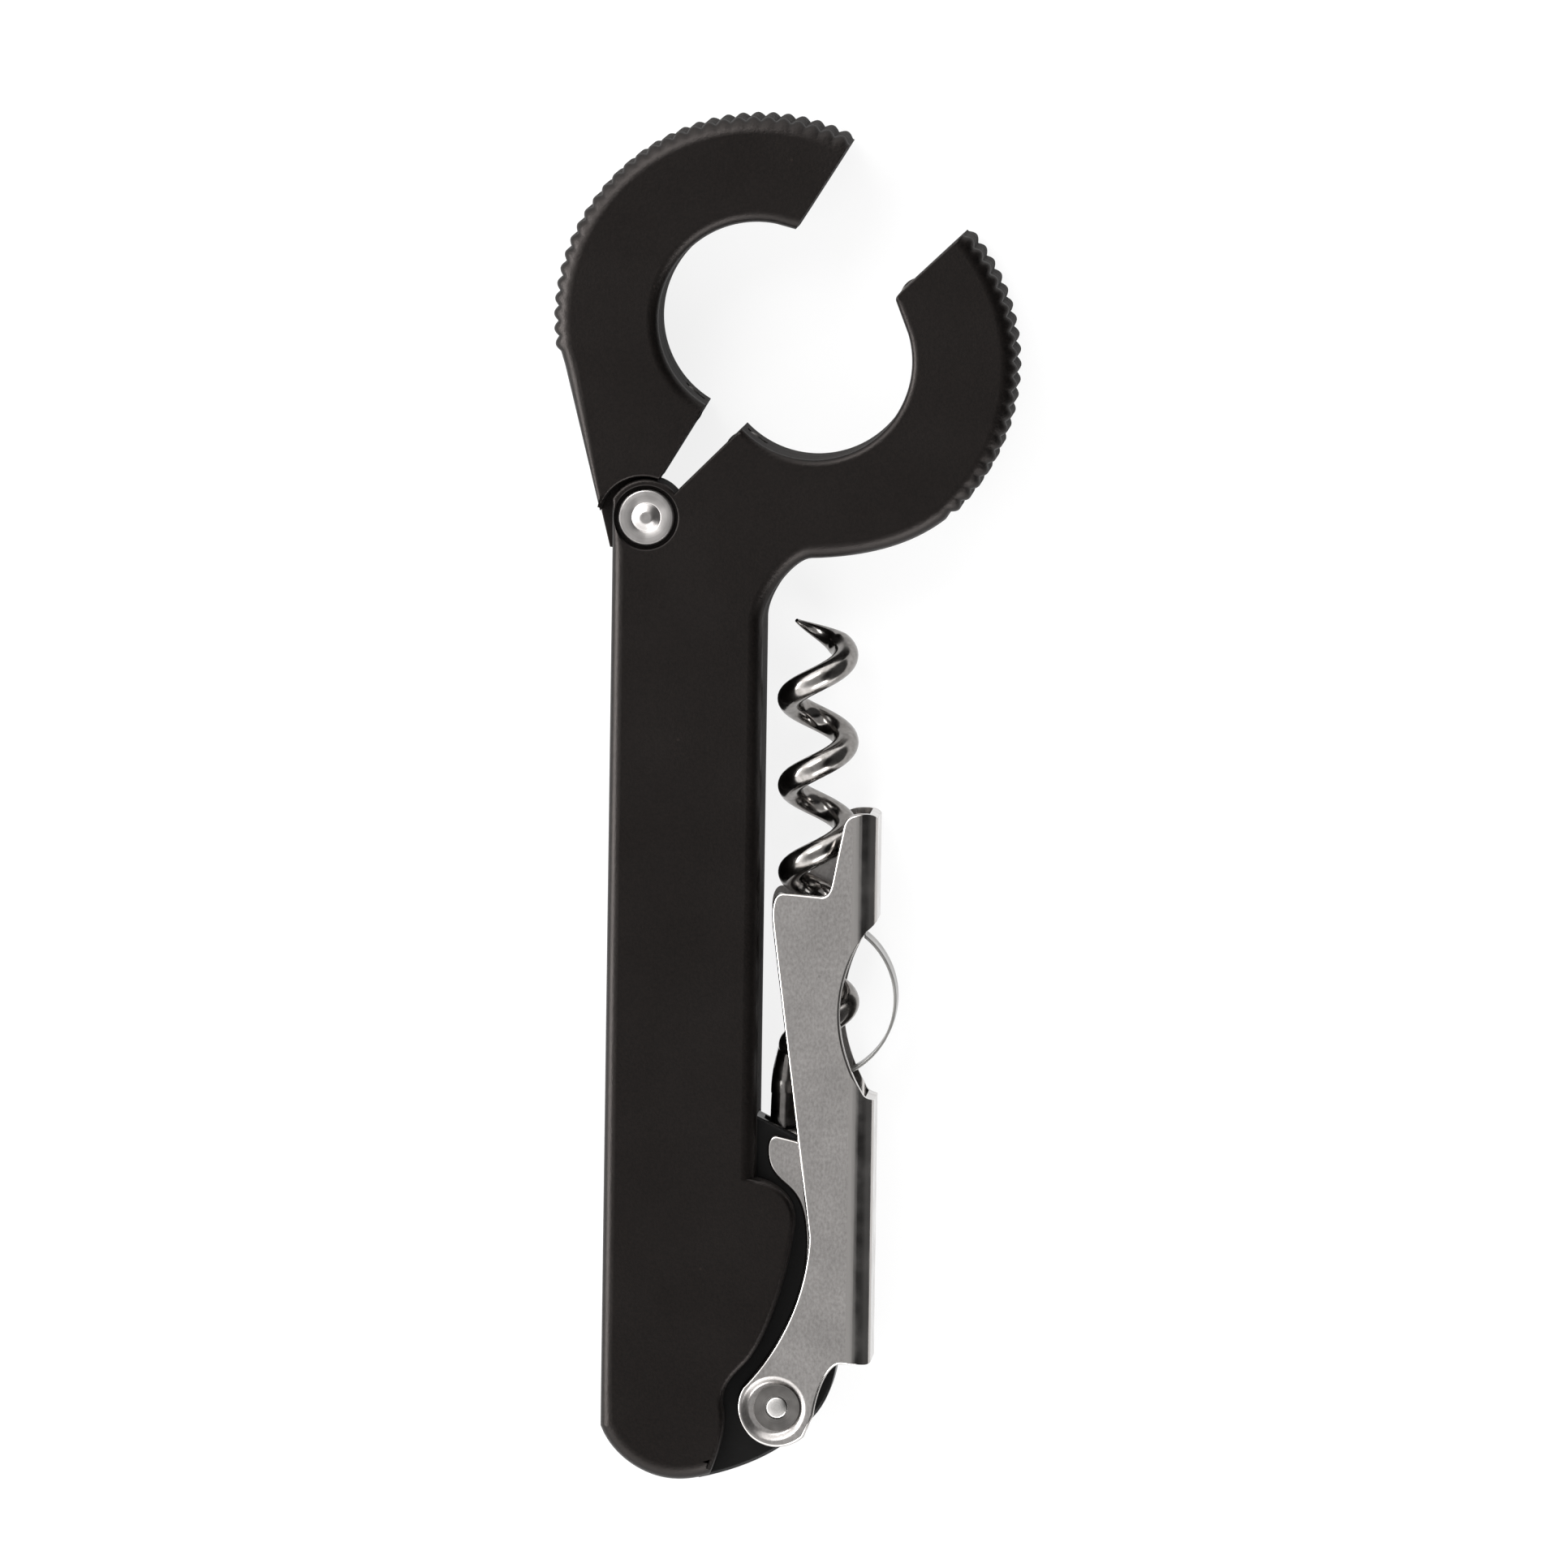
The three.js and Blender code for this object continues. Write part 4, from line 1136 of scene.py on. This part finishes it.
def softbox(name, azimuth, elevation, distance, width, height, watts):
    """An area light aimed at the middle of the part. Its distance and size are in metres."""
    light = bpy.data.lights.new(name, "AREA")
    light.shape = "RECTANGLE"
    light.size = width
    light.size_y = height
    light.energy = watts
    lamp = bpy.data.objects.new(name, light)
    bpy.context.scene.collection.objects.link(lamp)
    direction = towards(azimuth, elevation)
    middle = (cad_low + cad_high) / 2
    aim = direction.to_track_quat("Z", "Y").to_matrix().to_4x4()
    lamp.matrix_world = Matrix.Translation(middle + direction * distance) @ aim


def camera():
    """A long lens over the part, tipped a little towards the jaws and the levers' side."""
    roll = math.radians(CAMERA_ROLL)
    up = Vector((-math.sin(roll), math.cos(roll), 0))
    right = up.cross(CAMERA_BACK).normalized()
    up = CAMERA_BACK.cross(right)
    data = bpy.data.cameras.new("camera")
    data.sensor_width = 36
    data.lens = data.sensor_width * CAMERA_DISTANCE / VIEW_WIDTH
    data.clip_end = 20
    holder = bpy.data.objects.new("camera", data)
    bpy.context.scene.collection.objects.link(holder)
    place = Matrix.Translation((CAMERA_TARGET + CAMERA_BACK * CAMERA_DISTANCE) * MM)
    holder.matrix_world = place @ Matrix((right, up, CAMERA_BACK)).transposed().to_4x4()
    bpy.context.scene.camera = holder


def facing(tree, direction, low, high, to_low, to_high):
    """to_high for world directions near the one given, falling to to_low away from it."""
    dot = tree.nodes.new("ShaderNodeVectorMath")
    dot.operation = "DOT_PRODUCT"
    dot.inputs[1].default_value = direction
    seen = tree.nodes.new("ShaderNodeTexCoord").outputs["Generated"]
    tree.links.new(seen, dot.inputs[0])
    ranged = map_range(tree, dot.outputs["Value"], low, high, to_low, to_high)
    ranged.interpolation_type = "SMOOTHSTEP"
    return ranged.outputs["Result"]


def world():
    """A studio: mid grey overhead, bright walls all round, and a dark side to the right."""
    sky = bpy.data.worlds.new("world")
    bpy.context.scene.world = sky
    sky.use_nodes = True
    tree = sky.node_tree
    walls = facing(tree, towards(0, 90), 0.62, 0.9, SKY_WALL, SKY_TOP)
    dark_side = facing(tree, towards(10, 30), 0.58, 0.76, 1, SKY_DARK_SIDE)
    strength = tree.nodes.new("ShaderNodeMath")
    strength.operation = "MULTIPLY"
    tree.links.new(walls, strength.inputs[0])
    tree.links.new(dark_side, strength.inputs[1])
    background = tree.nodes["Background"]
    background.inputs["Color"].default_value = (1, 1, 1, 1)
    tree.links.new(strength.outputs[0], background.inputs["Strength"])


floor()
world()
softbox("upper left softbox", 125, 48, 0.9, 0.5, 0.4, 5)
softbox("left softbox", 180, 24, 0.9, 0.6, 0.3, 9)
softbox("low softbox", -62, 36, 0.9, 0.5, 0.3, 4)
camera()
bpy.context.scene.view_settings.view_transform = "Standard"
